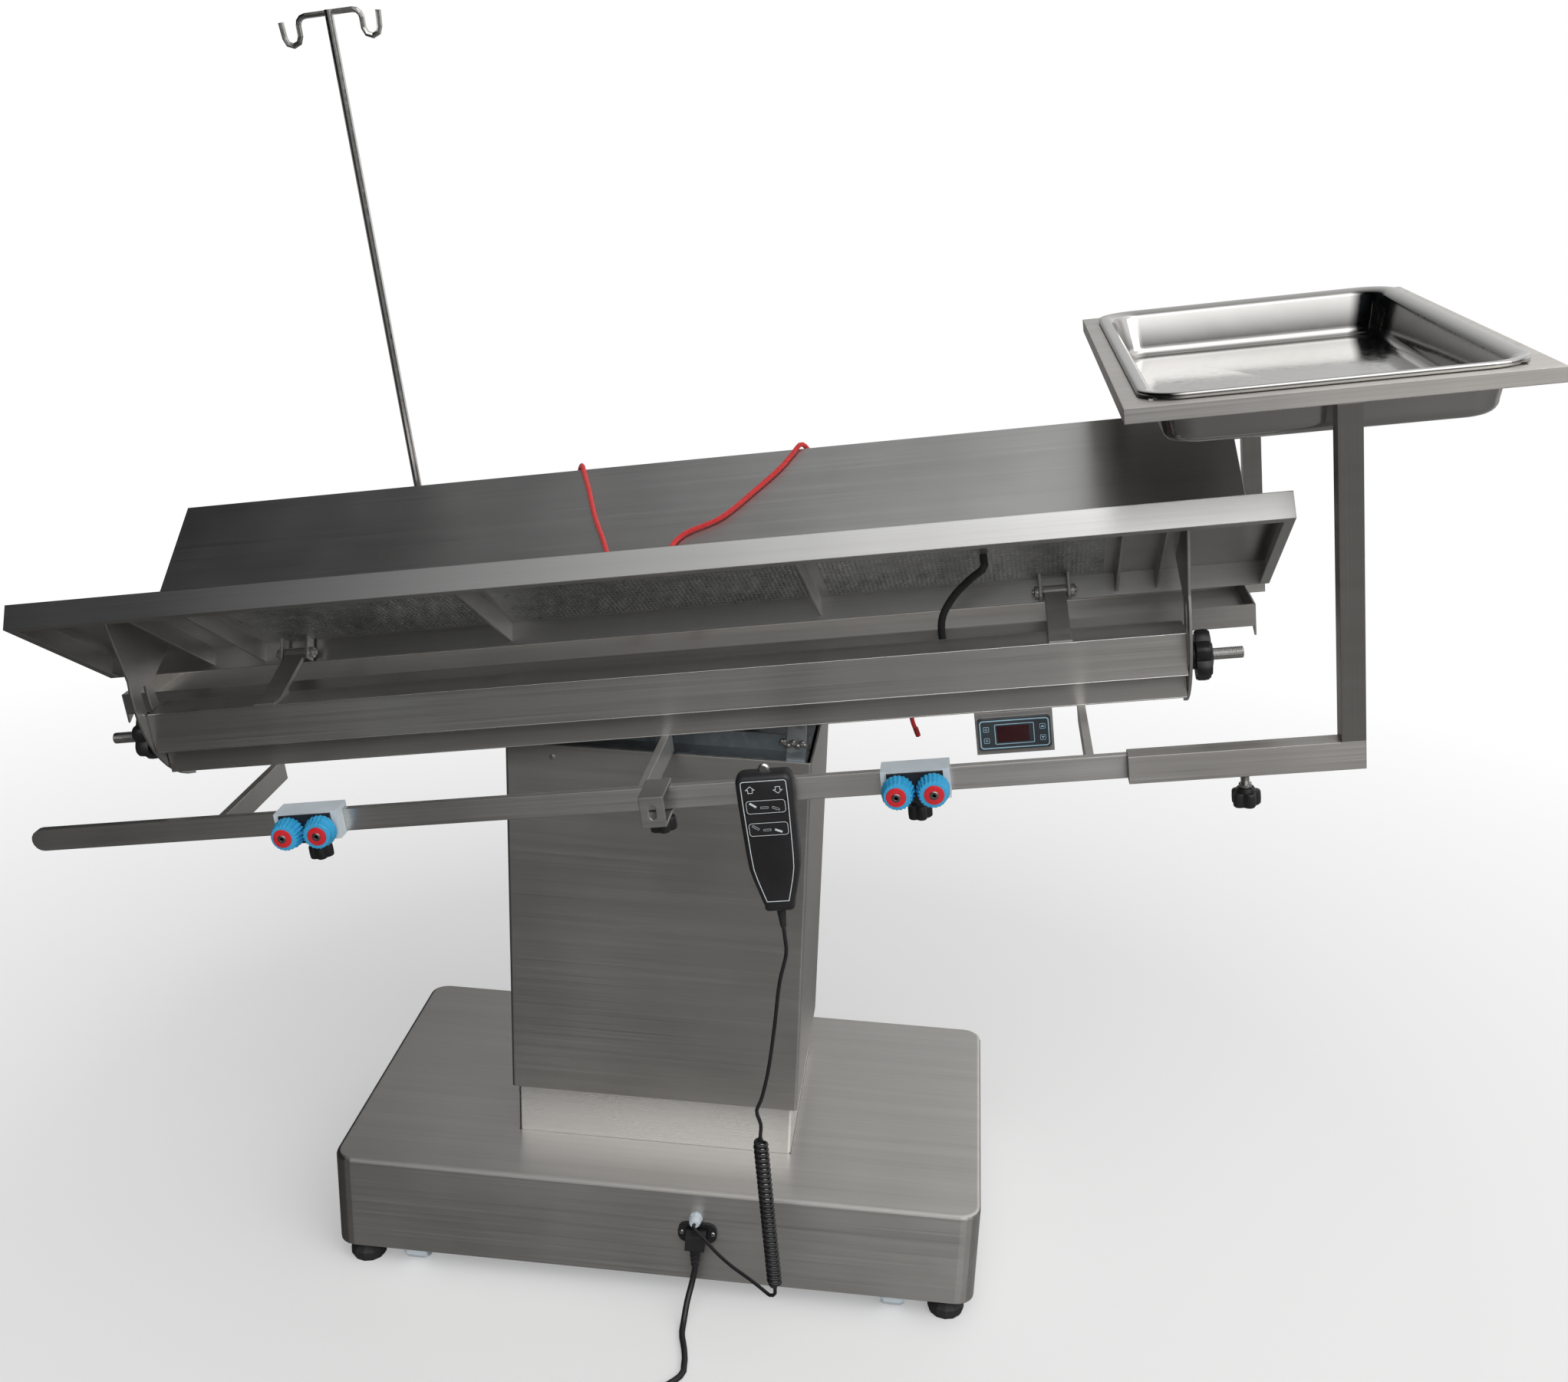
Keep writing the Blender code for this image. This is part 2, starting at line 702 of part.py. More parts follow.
def wheelsets(parent):
    """Two transport wheels on one through axle, just clear of the floor."""
    wheel_x = BASE_LENGTH / 2 - WHEEL_INSET_X
    radius, half = WHEEL_RADIUS, WHEEL_WIDTH / 2
    shoulder = radius * 0.9
    profile = []
    for centre in (-wheel_x, wheel_x):
        profile += [(AXLE_RADIUS, centre - half), (shoulder, centre - half),
                    (radius, centre - half * 0.7), (radius, centre + half * 0.7),
                    (shoulder, centre + half), (AXLE_RADIUS, centre + half)]
    profile = [(AXLE_RADIUS, -wheel_x - half * 1.4)] + profile + [(AXLE_RADIUS, wheel_x + half * 1.4)]
    for word, side in (("front", -1), ("rear", 1)):
        axis = empty(f"wheelset_{word}_axis",
                     (0.0, side * (BASE_WIDTH / 2 - WHEEL_INSET_Y), radius + WHEEL_CLEARANCE), parent)
        turned(f"wheelset_{word}", profile, "X", (0.0, 0.0), 14, white_nylon(), axis)


def power_inlet(parent):
    """Flanged socket with the handset cord's gland above it."""
    face = -BASE_WIDTH / 2
    flange = prism("power_inlet",
                   rounded(INLET_WIDTH / 2, INLET_TALL / 2, INLET_TALL / 2.4, 5, (INLET_X, INLET_HEIGHT)),
                   "Y", face - GAP - INLET_FLANGE, face - GAP, black_plastic(), parent)
    shell = block("shell", (INLET_X - INLET_SOCKET_WIDTH / 2, face - GAP - WELD_OVERLAP,
                            INLET_HEIGHT - INLET_SOCKET_TALL / 2),
                  (INLET_X + INLET_SOCKET_WIDTH / 2, face + INLET_SOCKET_DEPTH,
                   INLET_HEIGHT + INLET_SOCKET_TALL / 2))
    gland = turned("gland", [(GLAND_RADIUS, face - GAP - WELD_OVERLAP - INLET_FLANGE / 2),
                             (GLAND_RADIUS, face - GAP - GLAND_LENGTH * 0.6),
                             (GLAND_RADIUS * 0.7, face - GAP - GLAND_LENGTH)],
                   "Y", (GLAND_X, GLAND_HEIGHT), 14)
    seat = block("seat", (GLAND_X - GLAND_RADIUS * 0.8, face - GAP - INLET_FLANGE, INLET_HEIGHT),
                 (GLAND_X + GLAND_RADIUS * 0.8, face - GAP, GLAND_HEIGHT + GLAND_RADIUS * 0.8))
    weld(flange, shell, seat, gland)
    mouth = block("mouth", (INLET_X - INLET_SOCKET_WIDTH / 2 + INLET_WALL,
                            face - GAP - INLET_FLANGE - CUT_OVERRUN,
                            INLET_HEIGHT - INLET_SOCKET_TALL / 2 + INLET_WALL),
                  (INLET_X + INLET_SOCKET_WIDTH / 2 - INLET_WALL,
                   face + INLET_SOCKET_DEPTH - INLET_WALL,
                   INLET_HEIGHT + INLET_SOCKET_TALL / 2 - INLET_WALL))
    cut(flange, mouth)
    return flange


def mains_connector(parent):
    """Angled connector in the inlet, with its ribbed strain relief pointing down."""
    face = -BASE_WIDTH / 2 - GAP - INLET_FLANGE
    back = -BASE_WIDTH / 2 + INLET_SOCKET_DEPTH / 2
    half_width = CONNECTOR_WIDTH / 2
    outline = [(face - CONNECTOR_BODY, INLET_HEIGHT - CONNECTOR_HALF_TALL),
               (face - GAP, INLET_HEIGHT - CONNECTOR_HALF_TALL),
               (face - GAP, INLET_HEIGHT - CONNECTOR_HALF_TALL * 0.8),
               (back, INLET_HEIGHT - CONNECTOR_HALF_TALL * 0.8),
               (back, INLET_HEIGHT + CONNECTOR_HALF_TALL * 0.8),
               (face - GAP, INLET_HEIGHT + CONNECTOR_HALF_TALL * 0.8),
               (face - CONNECTOR_BODY * 0.3, INLET_HEIGHT + CONNECTOR_HALF_TALL),
               (face - CONNECTOR_BODY * 0.8, INLET_HEIGHT + CONNECTOR_HALF_TALL * 0.8)]
    body = prism("mains_connector", outline, "X", INLET_X - half_width, INLET_X + half_width,
                 black_plastic(), parent)
    centre = (INLET_X, connector_exit()[1])
    top = INLET_HEIGHT - CONNECTOR_HALF_TALL + WELD_OVERLAP
    profile = []
    for ring in range(9):
        share = ring / 8
        radius = MAINS_RADIUS * (2.1 - 0.7 * share) - (ring % 2) * MAINS_RADIUS * 0.25
        profile.append((radius, top - CONNECTOR_RELIEF * share))
    relief = turned("relief", profile, "Z", centre, 14)
    weld(body, relief)
    return body


def connector_exit():
    """Where the mains cord leaves its connector's strain relief."""
    return (INLET_X, -BASE_WIDTH / 2 - GAP - INLET_FLANGE - CONNECTOR_BODY * 0.62,
            INLET_HEIGHT - CONNECTOR_HALF_TALL + WELD_OVERLAP - CONNECTOR_RELIEF - GAP)


def inner_sleeve(parent):
    sleeve = prism("inner_sleeve", rounded(INNER_LENGTH / 2, INNER_WIDTH / 2, OUTER_CORNER_RADIUS, 3,
                                           (COLUMN_SHIFT, 0.0)),
                   "Z", CHASSIS_TOP + GAP * 4, INNER_TOP, polished(), parent)
    inside = block("inside", (COLUMN_SHIFT - INNER_LENGTH / 2 + SLEEVE_SHEET,
                              -INNER_WIDTH / 2 + SLEEVE_SHEET, 0.0),
                   (COLUMN_SHIFT + INNER_LENGTH / 2 - SLEEVE_SHEET,
                    INNER_WIDTH / 2 - SLEEVE_SHEET, INNER_TOP + CUT_OVERRUN))
    cut(sleeve, inside)
    return sleeve


def outer_sleeve(parent):
    sleeve = prism("outer_sleeve", rounded(OUTER_LENGTH / 2, OUTER_WIDTH / 2, OUTER_CORNER_RADIUS, 4,
                                           (COLUMN_SHIFT, 0.0)),
                   "Z", OUTER_BOTTOM, OUTER_TOP, steel(), parent)
    inside = block("inside", (COLUMN_SHIFT - OUTER_LENGTH / 2 + SLEEVE_SHEET,
                              -OUTER_WIDTH / 2 + SLEEVE_SHEET, OUTER_BOTTOM - CUT_OVERRUN),
                   (COLUMN_SHIFT + OUTER_LENGTH / 2 - SLEEVE_SHEET,
                    OUTER_WIDTH / 2 - SLEEVE_SHEET, OUTER_TOP + CUT_OVERRUN))
    cut(sleeve, inside)
    return sleeve


def lift_actuator(base, lift):
    centre = (COLUMN_SHIFT, 0.0)
    body = turned("lift_actuator_body",
                  [(ACTUATOR_RADIUS, ACTUATOR_FOOT), (ACTUATOR_RADIUS, ACTUATOR_TOP),
                   (ACTUATOR_ROD_RADIUS + GAP * 2, ACTUATOR_TOP),
                   (ACTUATOR_ROD_RADIUS + GAP * 2, ACTUATOR_FOOT + ACTUATOR_FLOOR)],
                  "Z", centre, 20, black_plastic(), base)
    gearbox = block("gearbox", (COLUMN_SHIFT + ACTUATOR_RADIUS * 0.8, -ACTUATOR_MOTOR_RADIUS,
                                ACTUATOR_FOOT + WELD_OVERLAP),
                    (COLUMN_SHIFT + ACTUATOR_MOTOR_SHIFT + ACTUATOR_MOTOR_RADIUS,
                     ACTUATOR_MOTOR_RADIUS, ACTUATOR_FOOT + ACTUATOR_GEARBOX))
    motor = turned("motor", [(ACTUATOR_MOTOR_RADIUS * 0.9, ACTUATOR_FOOT + ACTUATOR_GEARBOX * 0.8),
                             (ACTUATOR_MOTOR_RADIUS * 0.9,
                              ACTUATOR_FOOT + ACTUATOR_GEARBOX + ACTUATOR_MOTOR_LENGTH)],
                   "Z", (COLUMN_SHIFT + ACTUATOR_MOTOR_SHIFT, 0.0), 16)
    weld(body, gearbox, motor)
    turned("lift_actuator_rod",
           [(ACTUATOR_ROD_RADIUS, ACTUATOR_ROD_FOOT),
            (ACTUATOR_ROD_RADIUS, CHANNEL_FLOOR - GAP - ACTUATOR_FLOOR * 2),
            (ACTUATOR_ROD_RADIUS * 1.6, CHANNEL_FLOOR - GAP - ACTUATOR_FLOOR * 2),
            (ACTUATOR_ROD_RADIUS * 1.6, CHANNEL_FLOOR - GAP)],
           "Z", centre, 20, polished(), lift)


def channel_bracket(parent):
    """Galvanised cross channel in the sleeve's mouth, with the pivot lugs and one end lug."""
    left = COLUMN_SHIFT - OUTER_LENGTH / 2 + SLEEVE_SHEET + GAP
    right = COLUMN_SHIFT + OUTER_LENGTH / 2 - SLEEVE_SHEET - CHANNEL_END_GAP
    edge_y = OUTER_WIDTH / 2 - SLEEVE_SHEET - GAP
    web = CHANNEL_WEB_Y
    sheet = CHANNEL_SHEET
    outline = [(-edge_y, CHANNEL_FLOOR), (edge_y, CHANNEL_FLOOR), (edge_y, OUTER_TOP),
               (edge_y - sheet, OUTER_TOP), (edge_y - sheet, CHANNEL_FLOOR + sheet),
               (web, CHANNEL_FLOOR + sheet), (web, CHANNEL_WEB_TOP), (web - sheet, CHANNEL_WEB_TOP),
               (web - sheet, CHANNEL_FLOOR + sheet), (-web + sheet, CHANNEL_FLOOR + sheet),
               (-web + sheet, CHANNEL_WEB_TOP), (-web, CHANNEL_WEB_TOP),
               (-web, CHANNEL_FLOOR + sheet), (-edge_y + sheet, CHANNEL_FLOOR + sheet),
               (-edge_y + sheet, OUTER_TOP), (-edge_y, OUTER_TOP)]
    bracket = prism("channel_bracket", outline, "X", left, right, galvanised(), parent)
    lug_y = edge_y - sheet
    end_lug = block("end_lug", (right - LUG_WIDTH, -lug_y - WELD_OVERLAP, CHANNEL_FLOOR + sheet / 2),
                    (right - GAP * 2, -lug_y + LUG_SHEET, LUG_TOP))
    lugs = []
    for side in (-1, 1):
        y0, y1 = sorted((side * PIVOT_LUG_Y, side * (PIVOT_LUG_Y + LUG_SHEET)))
        lugs.append(block("pivot_lug", (COLUMN_SHIFT - PIVOT_LUG_HALF, y0, CHANNEL_FLOOR + sheet / 2),
                          (COLUMN_SHIFT + PIVOT_LUG_HALF, y1, PIVOT_HEIGHT + PIN_RADIUS * 1.9)))
    weld(bracket, end_lug, *lugs)
    pin = prism("pin_bore", circle(PIN_RADIUS + GAP, 16, (COLUMN_SHIFT, PIVOT_HEIGHT)), "Y",
                -edge_y / 2 - web / 2, edge_y / 2 + web / 2)
    hole_y = -lug_y + LUG_SHEET / 2
    hole = prism("hole", circle(LUG_HOLE_RADIUS, 12, (right - LUG_WIDTH / 2, LUG_TOP - LUG_HOLE_DROP)),
                 "Y", hole_y - LUG_SHEET, hole_y + LUG_SHEET)
    cut(bracket, pin, hole)
    return bracket


def tilt_drive(parent):
    """Worm gearbox between the pivot lugs, with its motor and the cross pin that carries the frame."""
    half_y = PIVOT_LUG_Y - DRIVE_GAP
    low = CHANNEL_FLOOR + CHANNEL_SHEET + GAP
    high = PIVOT_HEIGHT + PIN_RADIUS * 1.5
    drive = block("tilt_drive", (COLUMN_SHIFT - DRIVE_HALF, -half_y, low),
                  (COLUMN_SHIFT + DRIVE_HALF, half_y, high), black_plastic(), parent)
    middle = (low + high) / 2
    motor = turned("motor", [(DRIVE_MOTOR_RADIUS * 0.8, COLUMN_SHIFT + DRIVE_HALF - WELD_OVERLAP),
                             (DRIVE_MOTOR_RADIUS * 0.8,
                              COLUMN_SHIFT + DRIVE_HALF + DRIVE_MOTOR_LENGTH)],
                   "X", (0.0, middle), 16)
    reach = CRADLE_LUG_Y + CRADLE_LUG_SHEET + GAP * 5
    pin = turned("pin", [(PIN_RADIUS, -reach), (PIN_RADIUS, reach)], "Y", (COLUMN_SHIFT, PIVOT_HEIGHT), 16)
    weld(drive, motor, pin)
    return drive


def beam_outline(side):
    """Stepped, inward-open sheet section, in (y, z), for the near (-1) or far (+1) side."""
    t = BEAM_SHEET
    points = [(BEAM_INNER_Y, BEAM_TOP), (BEAM_FACE_Y, BEAM_TOP), (BEAM_FACE_Y, BEAM_STEP),
              (BEAM_STRIP_Y, BEAM_STEP), (BEAM_STRIP_Y, BEAM_BOTTOM), (BEAM_INNER_Y, BEAM_BOTTOM),
              (BEAM_INNER_Y, BEAM_BOTTOM + t), (BEAM_STRIP_Y - t, BEAM_BOTTOM + t),
              (BEAM_STRIP_Y - t, BEAM_STEP + t), (BEAM_FACE_Y - t, BEAM_STEP + t),
              (BEAM_FACE_Y - t, BEAM_TOP - t), (BEAM_INNER_Y, BEAM_TOP - t)]
    return [(side * y, z) for y, z in points]


def stud_place():
    """Distance from the middle and height of each panel's locking stud, in the frame."""
    return (HINGE_Y + SLOT_RADIUS * math.cos(STUD_ANGLE), HINGE_RISE - SLOT_RADIUS * math.sin(STUD_ANGLE))


def beam(name, side, parent):
    """A side beam with its hinge arms, end plates and locking studs."""
    half = BEAM_LENGTH / 2
    made = prism(name, beam_outline(side), "X", -half, half, steel(), parent)
    parts = []
    stud_y, stud_z = stud_place()
    t = BEAM_SHEET
    for end in (-1, 1):
        x0, x1 = sorted((end * (half - GAP * 5), end * (half - GAP * 5 - BEAM_END_PLATE)))
        y0, y1 = sorted((side * (BEAM_INNER_Y + t), side * (BEAM_STRIP_Y - t / 2)))
        parts.append(block("end_plate", (x0, y0, BEAM_BOTTOM + t / 2), (x1, y1, BEAM_TOP - t / 2)))
        s0, s1 = sorted((end * (half - BEAM_END_PLATE), end * STUD_END))
        parts.append(turned("stud", [(STUD_RADIUS, s0), (STUD_RADIUS, s1)], "X",
                            (side * stud_y, stud_z), 12))
    weld(made, *parts)
    arms = []
    dy = HINGE_ARM_FOOT_Y - HINGE_Y
    dz = HINGE_RISE - BEAM_TOP
    length = math.hypot(dy, dz)
    along = (-dy / length, dz / length)
    across = (dz / length, dy / length)
    thick = HINGE_ARM_SHEET / 2
    tip = length - HINGE_BARREL_RADIUS / 2
    rim = [(0.0, -thick), (tip, -thick), (tip, thick), (0.0, thick)]
    outline = []
    for run, off in rim:
        outline.append((side * (HINGE_ARM_FOOT_Y + along[0] * run + across[0] * off),
                        BEAM_TOP + along[1] * run + across[1] * off))
    tab_y0, tab_y1 = sorted((side * (BEAM_INNER_Y + t), side * BEAM_FACE_Y))
    for place in HINGE_PLACES:
        x0, x1 = place - HINGE_ARM_WIDTH / 2, place + HINGE_ARM_WIDTH / 2
        arm = prism("arm", outline, "X", x0 + WELD_OVERLAP, x1 - WELD_OVERLAP)
        tab = block("tab", (x0, tab_y0, BEAM_TOP - t / 2), (x1, tab_y1, BEAM_TOP + t))
        barrel = turned("barrel", [(HINGE_BARREL_RADIUS, x0), (HINGE_BARREL_RADIUS, x1)], "X",
                        (side * HINGE_Y, HINGE_RISE), 12)
        arms += [tab, arm, barrel]
    weld(made, *arms)
    hole = circle(HINGE_BOLT_RADIUS + HINGE_BORE_CLEARANCE, 12, (side * HINGE_Y, HINGE_RISE))
    bores = [prism("bore", hole, "X", place - HINGE_ARM_WIDTH, place + HINGE_ARM_WIDTH)
             for place in HINGE_PLACES]
    cut(made, *bores)
    return made


def pivot_cradle(parent):
    """Cross tube between the beams, with the two lugs that hang on the pivot pin."""
    reach = BEAM_STRIP_Y - BEAM_SHEET - GAP
    cradle = block("pivot_cradle", (-CRADLE_HALF_LENGTH, -reach, CRADLE_BOTTOM),
                   (CRADLE_HALF_LENGTH, reach, BEAM_STEP - GAP), galvanised(), parent)
    narrow = GUTTER_HALF_WIDTH
    pad = block("pad", (-CRADLE_HALF_LENGTH + WELD_OVERLAP, -narrow, CRADLE_BOTTOM + WELD_OVERLAP),
                (CRADLE_HALF_LENGTH - WELD_OVERLAP, narrow, GUTTER_BOTTOM - GAP))
    centre = (TABLE_SHIFT, -TABLE_RISE)
    lugs = []
    for side in (-1, 1):
        y0, y1 = sorted((side * CRADLE_LUG_Y, side * (CRADLE_LUG_Y + CRADLE_LUG_SHEET)))
        outline = [(centre[0] - CRADLE_LUG_HALF, CRADLE_BOTTOM + GAP * 3)]
        outline += arc(centre, CRADLE_LUG_HALF, math.pi, math.tau, 10)
        outline += [(centre[0] + CRADLE_LUG_HALF, CRADLE_BOTTOM + GAP * 3)]
        lugs.append(prism("lug", outline, "Y", y0, y1))
    weld(cradle, pad, *lugs)
    bore = prism("bore", circle(PIN_RADIUS + GAP, 16, centre), "Y", -reach, reach)
    cut(cradle, bore)
    return cradle


def drain_gutter(parent):
    half, wide, t = GUTTER_HALF_LENGTH, GUTTER_HALF_WIDTH, GUTTER_SHEET
    outline = [(-wide, GUTTER_TOP), (-wide, GUTTER_BOTTOM), (wide, GUTTER_BOTTOM), (wide, GUTTER_TOP),
               (wide - t, GUTTER_TOP), (wide - t, GUTTER_BOTTOM + t), (-wide + t, GUTTER_BOTTOM + t),
               (-wide + t, GUTTER_TOP)]
    gutter = prism("drain_gutter", outline, "X", -half, half, steel(), parent)
    parts = []
    for end in (-1, 1):
        x0, x1 = sorted((end * (half + t), end * (half - WELD_OVERLAP)))
        plate = [(-wide, GUTTER_TOP), (-wide, GUTTER_LEG_BOTTOM),
                 (-wide + GUTTER_LEG_WIDTH, GUTTER_BOTTOM), (wide - GUTTER_LEG_WIDTH, GUTTER_BOTTOM),
                 (wide, GUTTER_LEG_BOTTOM), (wide, GUTTER_TOP)]
        parts.append(prism("end", plate, "X", x0, x1))
    reach = BEAM_FACE_Y - BEAM_SHEET - GAP
    for place in STRAP_PLACES:
        parts.append(block("strap", (place - STRAP_WIDTH / 2, -reach, GUTTER_BOTTOM - STRAP_SHEET),
                           (place + STRAP_WIDTH / 2, reach, GUTTER_BOTTOM + t / 2)))
    weld(gutter, *parts)
    return gutter


def rail(name, side, parent):
    """Accessory rail with its three arms, which seat under the beam."""
    radius = RAIL_HEIGHT / 2
    outline = arc((RAIL_LEFT + radius, RAIL_CENTRE), radius, math.pi * 1.5, math.pi * 0.5, 8)
    outline += [(RAIL_RIGHT, RAIL_CENTRE + radius), (RAIL_RIGHT, RAIL_CENTRE - radius)]
    y0, y1 = sorted((side * RAIL_FRONT_Y, side * (RAIL_FRONT_Y - RAIL_SHEET)))
    bar = prism(name, outline, "Y", y0, y1, steel(), parent)
    arms = []
    a0, a1 = sorted((side * RAIL_ARM_INNER_Y, side * (RAIL_FRONT_Y - RAIL_SHEET + WELD_OVERLAP)))
    for place in RAIL_ARM_PLACES:
        arms.append(block("arm", (place - RAIL_ARM_SHEET / 2, a0, RAIL_CENTRE - radius + GAP),
                          (place + RAIL_ARM_SHEET / 2, a1, BEAM_BOTTOM - GAP)))
    weld(bar, *arms)
    return bar


def sector_outline(side):
    """The locking plate, in the panel's own frame about its hinge: (y outward, z up)."""
    top = HINGE_DEPTH - PANEL_SHEET / 2
    points = [(SECTOR_ROOT, top), (SECTOR_REACH, top), (SECTOR_REACH, top - PANEL_RIM / 2)]
    points += [(r * math.cos(a), -r * math.sin(a)) for r, a in
               ((SECTOR_OUTER_RADIUS, SLOT_START_ANGLE * 0.8 + (SECTOR_TIP_ANGLE - SLOT_START_ANGLE * 0.8)
                 * i / 12) for i in range(13))]
    points += [(r * math.cos(a), -r * math.sin(a)) for r, a in
               ((SECTOR_INNER_RADIUS, SECTOR_TIP_INNER_ANGLE + (SLOT_START_ANGLE - SECTOR_TIP_INNER_ANGLE)
                 * i / 8) for i in range(9))]
    return [(side * y, z) for y, z in points]


def slot_outline(side):
    inner, outer = SLOT_RADIUS - SLOT_WIDTH / 2, SLOT_RADIUS + SLOT_WIDTH / 2
    steps = 10
    span = SLOT_END_ANGLE - SLOT_START_ANGLE
    points = [(outer * math.cos(SLOT_START_ANGLE + span * i / steps),
               -outer * math.sin(SLOT_START_ANGLE + span * i / steps)) for i in range(steps + 1)]
    points += [(inner * math.cos(SLOT_END_ANGLE - span * i / steps),
                -inner * math.sin(SLOT_END_ANGLE - span * i / steps)) for i in range(steps + 1)]
    return [(side * y, z) for y, z in points]


def panel(name, side, parent):
    """A folded top panel about its hinge: pan, ribs, hinge ears with bolts, and locking plates."""
    half = PANEL_LENGTH / 2
    inner, outer = -HINGE_INSET, PANEL_WIDTH - HINGE_INSET
    top, low = HINGE_DEPTH, HINGE_DEPTH - PANEL_RIM
    t = PANEL_SHEET

    def span(a, b):
        return sorted((side * a, side * b))

    y0, y1 = span(inner, outer)
    pan = block(name, (-half, y0, low), (half, y1, top), steel(), parent)
    y0, y1 = span(inner + t, outer - t)
    pocket = block("pocket", (-half + t, y0, low + t), (half - t, y1, top - t))
    y0, y1 = span(inner + t, outer - PANEL_LIP)
    mouth = block("mouth", (-half + PANEL_LIP, y0, low - CUT_OVERRUN),
                  (half - PANEL_LIP, y1, low + t + WELD_OVERLAP))
    cut(pan, pocket, mouth)
    parts = []
    y0, y1 = span(inner + t / 2, outer - t / 2)
    for place in RIB_PLACES:
        parts.append(block("rib", (place - RIB_SHEET / 2, y0, top - RIB_DEPTH),
                           (place + RIB_SHEET / 2, y1, top - t / 2)))
    ear_reach = HINGE_ARM_WIDTH / 2 + HINGE_EAR_GAP
    for place in HINGE_PLACES:
        for end in (-1, 1):
            x0, x1 = sorted((place + end * ear_reach, place + end * (ear_reach + HINGE_EAR_SHEET)))
            y0, y1 = span(-HINGE_EAR_HALF, HINGE_EAR_HALF)
            parts.append(block("ear", (x0, y0, -HINGE_EAR_HALF), (x1, y1, top - t / 2)))
        bolt_half = ear_reach + HINGE_EAR_SHEET
        parts.append(turned("bolt", [(HINGE_BOLT_HEAD_RADIUS, place - bolt_half - HINGE_BOLT_HEAD),
                                     (HINGE_BOLT_HEAD_RADIUS, place - bolt_half + WELD_OVERLAP),
                                     (HINGE_BOLT_RADIUS, place - bolt_half + WELD_OVERLAP),
                                     (HINGE_BOLT_RADIUS, place + bolt_half - WELD_OVERLAP),
                                     (HINGE_BOLT_HEAD_RADIUS, place + bolt_half - WELD_OVERLAP),
                                     (HINGE_BOLT_HEAD_RADIUS, place + bolt_half + HINGE_BOLT_HEAD)],
                            "X", (0.0, 0.0), 12))
    weld(pan, *parts)
    plates = []
    slots = []
    for end in (-1, 1):
        x0, x1 = sorted((end * (BEAM_LENGTH / 2 + SECTOR_GAP),
                         end * (BEAM_LENGTH / 2 + SECTOR_GAP + SECTOR_SHEET)))
        plates.append(prism("plate", sector_outline(side), "X", x0, x1))
        slots.append(prism("slot", slot_outline(side), "X", x0 - SECTOR_SHEET, x1 + SECTOR_SHEET))
    weld(pan, *plates)
    cut(pan, *slots)
    return pan


def panel_knobs(table):
    stud_y, stud_z = stud_place()
    start = BEAM_LENGTH / 2 + SECTOR_GAP + SECTOR_SHEET + GAP * 2
    for word_y, side in (("near", -1), ("far", 1)):
        for word_x, end in (("left", -1), ("right", 1)):
            name = f"{word_y}_{word_x}_knob"
            axis = empty(name + "_axis", (0.0, side * stud_y, stud_z), table)
            x0 = end * start
            x1 = end * (start + PANEL_KNOB_HUB)
            x2 = end * (start + PANEL_KNOB_THICKNESS)
            grip = prism(name, star_outline(PANEL_KNOB_RADIUS), "X", min(x1, x2), max(x1, x2),
                         black_plastic(), axis)
            hub = prism("hub", circle(PANEL_KNOB_HUB_RADIUS, 16), "X",
                        min(x0, x1 + end * WELD_OVERLAP), max(x0, x1 + end * WELD_OVERLAP))
            weld(grip, hub)
            bore = prism("bore", circle(STUD_RADIUS + GAP, 12), "X",
                         min(x0, x2) - CUT_OVERRUN, max(x0, x2) + CUT_OVERRUN)
            cut(grip, bore)
            smooth(grip)


def small_knob(name, radius, neck, stud, parent):
    """A star knob below its stud; the local origin is at the stud's top."""
    low = -stud - neck - SMALL_KNOB_THICKNESS
    grip = prism(name, star_outline(radius), "Z", low, -stud - neck, black_plastic(), parent)
    shaft = turned("shaft", [(SMALL_KNOB_NECK_RADIUS * 0.8, -stud - neck - WELD_OVERLAP),
                             (SMALL_KNOB_NECK_RADIUS * 0.8, -stud),
                             (SMALL_STUD_RADIUS, -stud), (SMALL_STUD_RADIUS, 0.0)], "Z", (0.0, 0.0), 12)
    weld(grip, shaft)
    smooth(grip)
    return grip


def rail_underside():
    return RAIL_CENTRE - RAIL_HEIGHT / 2


def rail_middle_y():
    return RAIL_FRONT_Y - RAIL_SHEET / 2


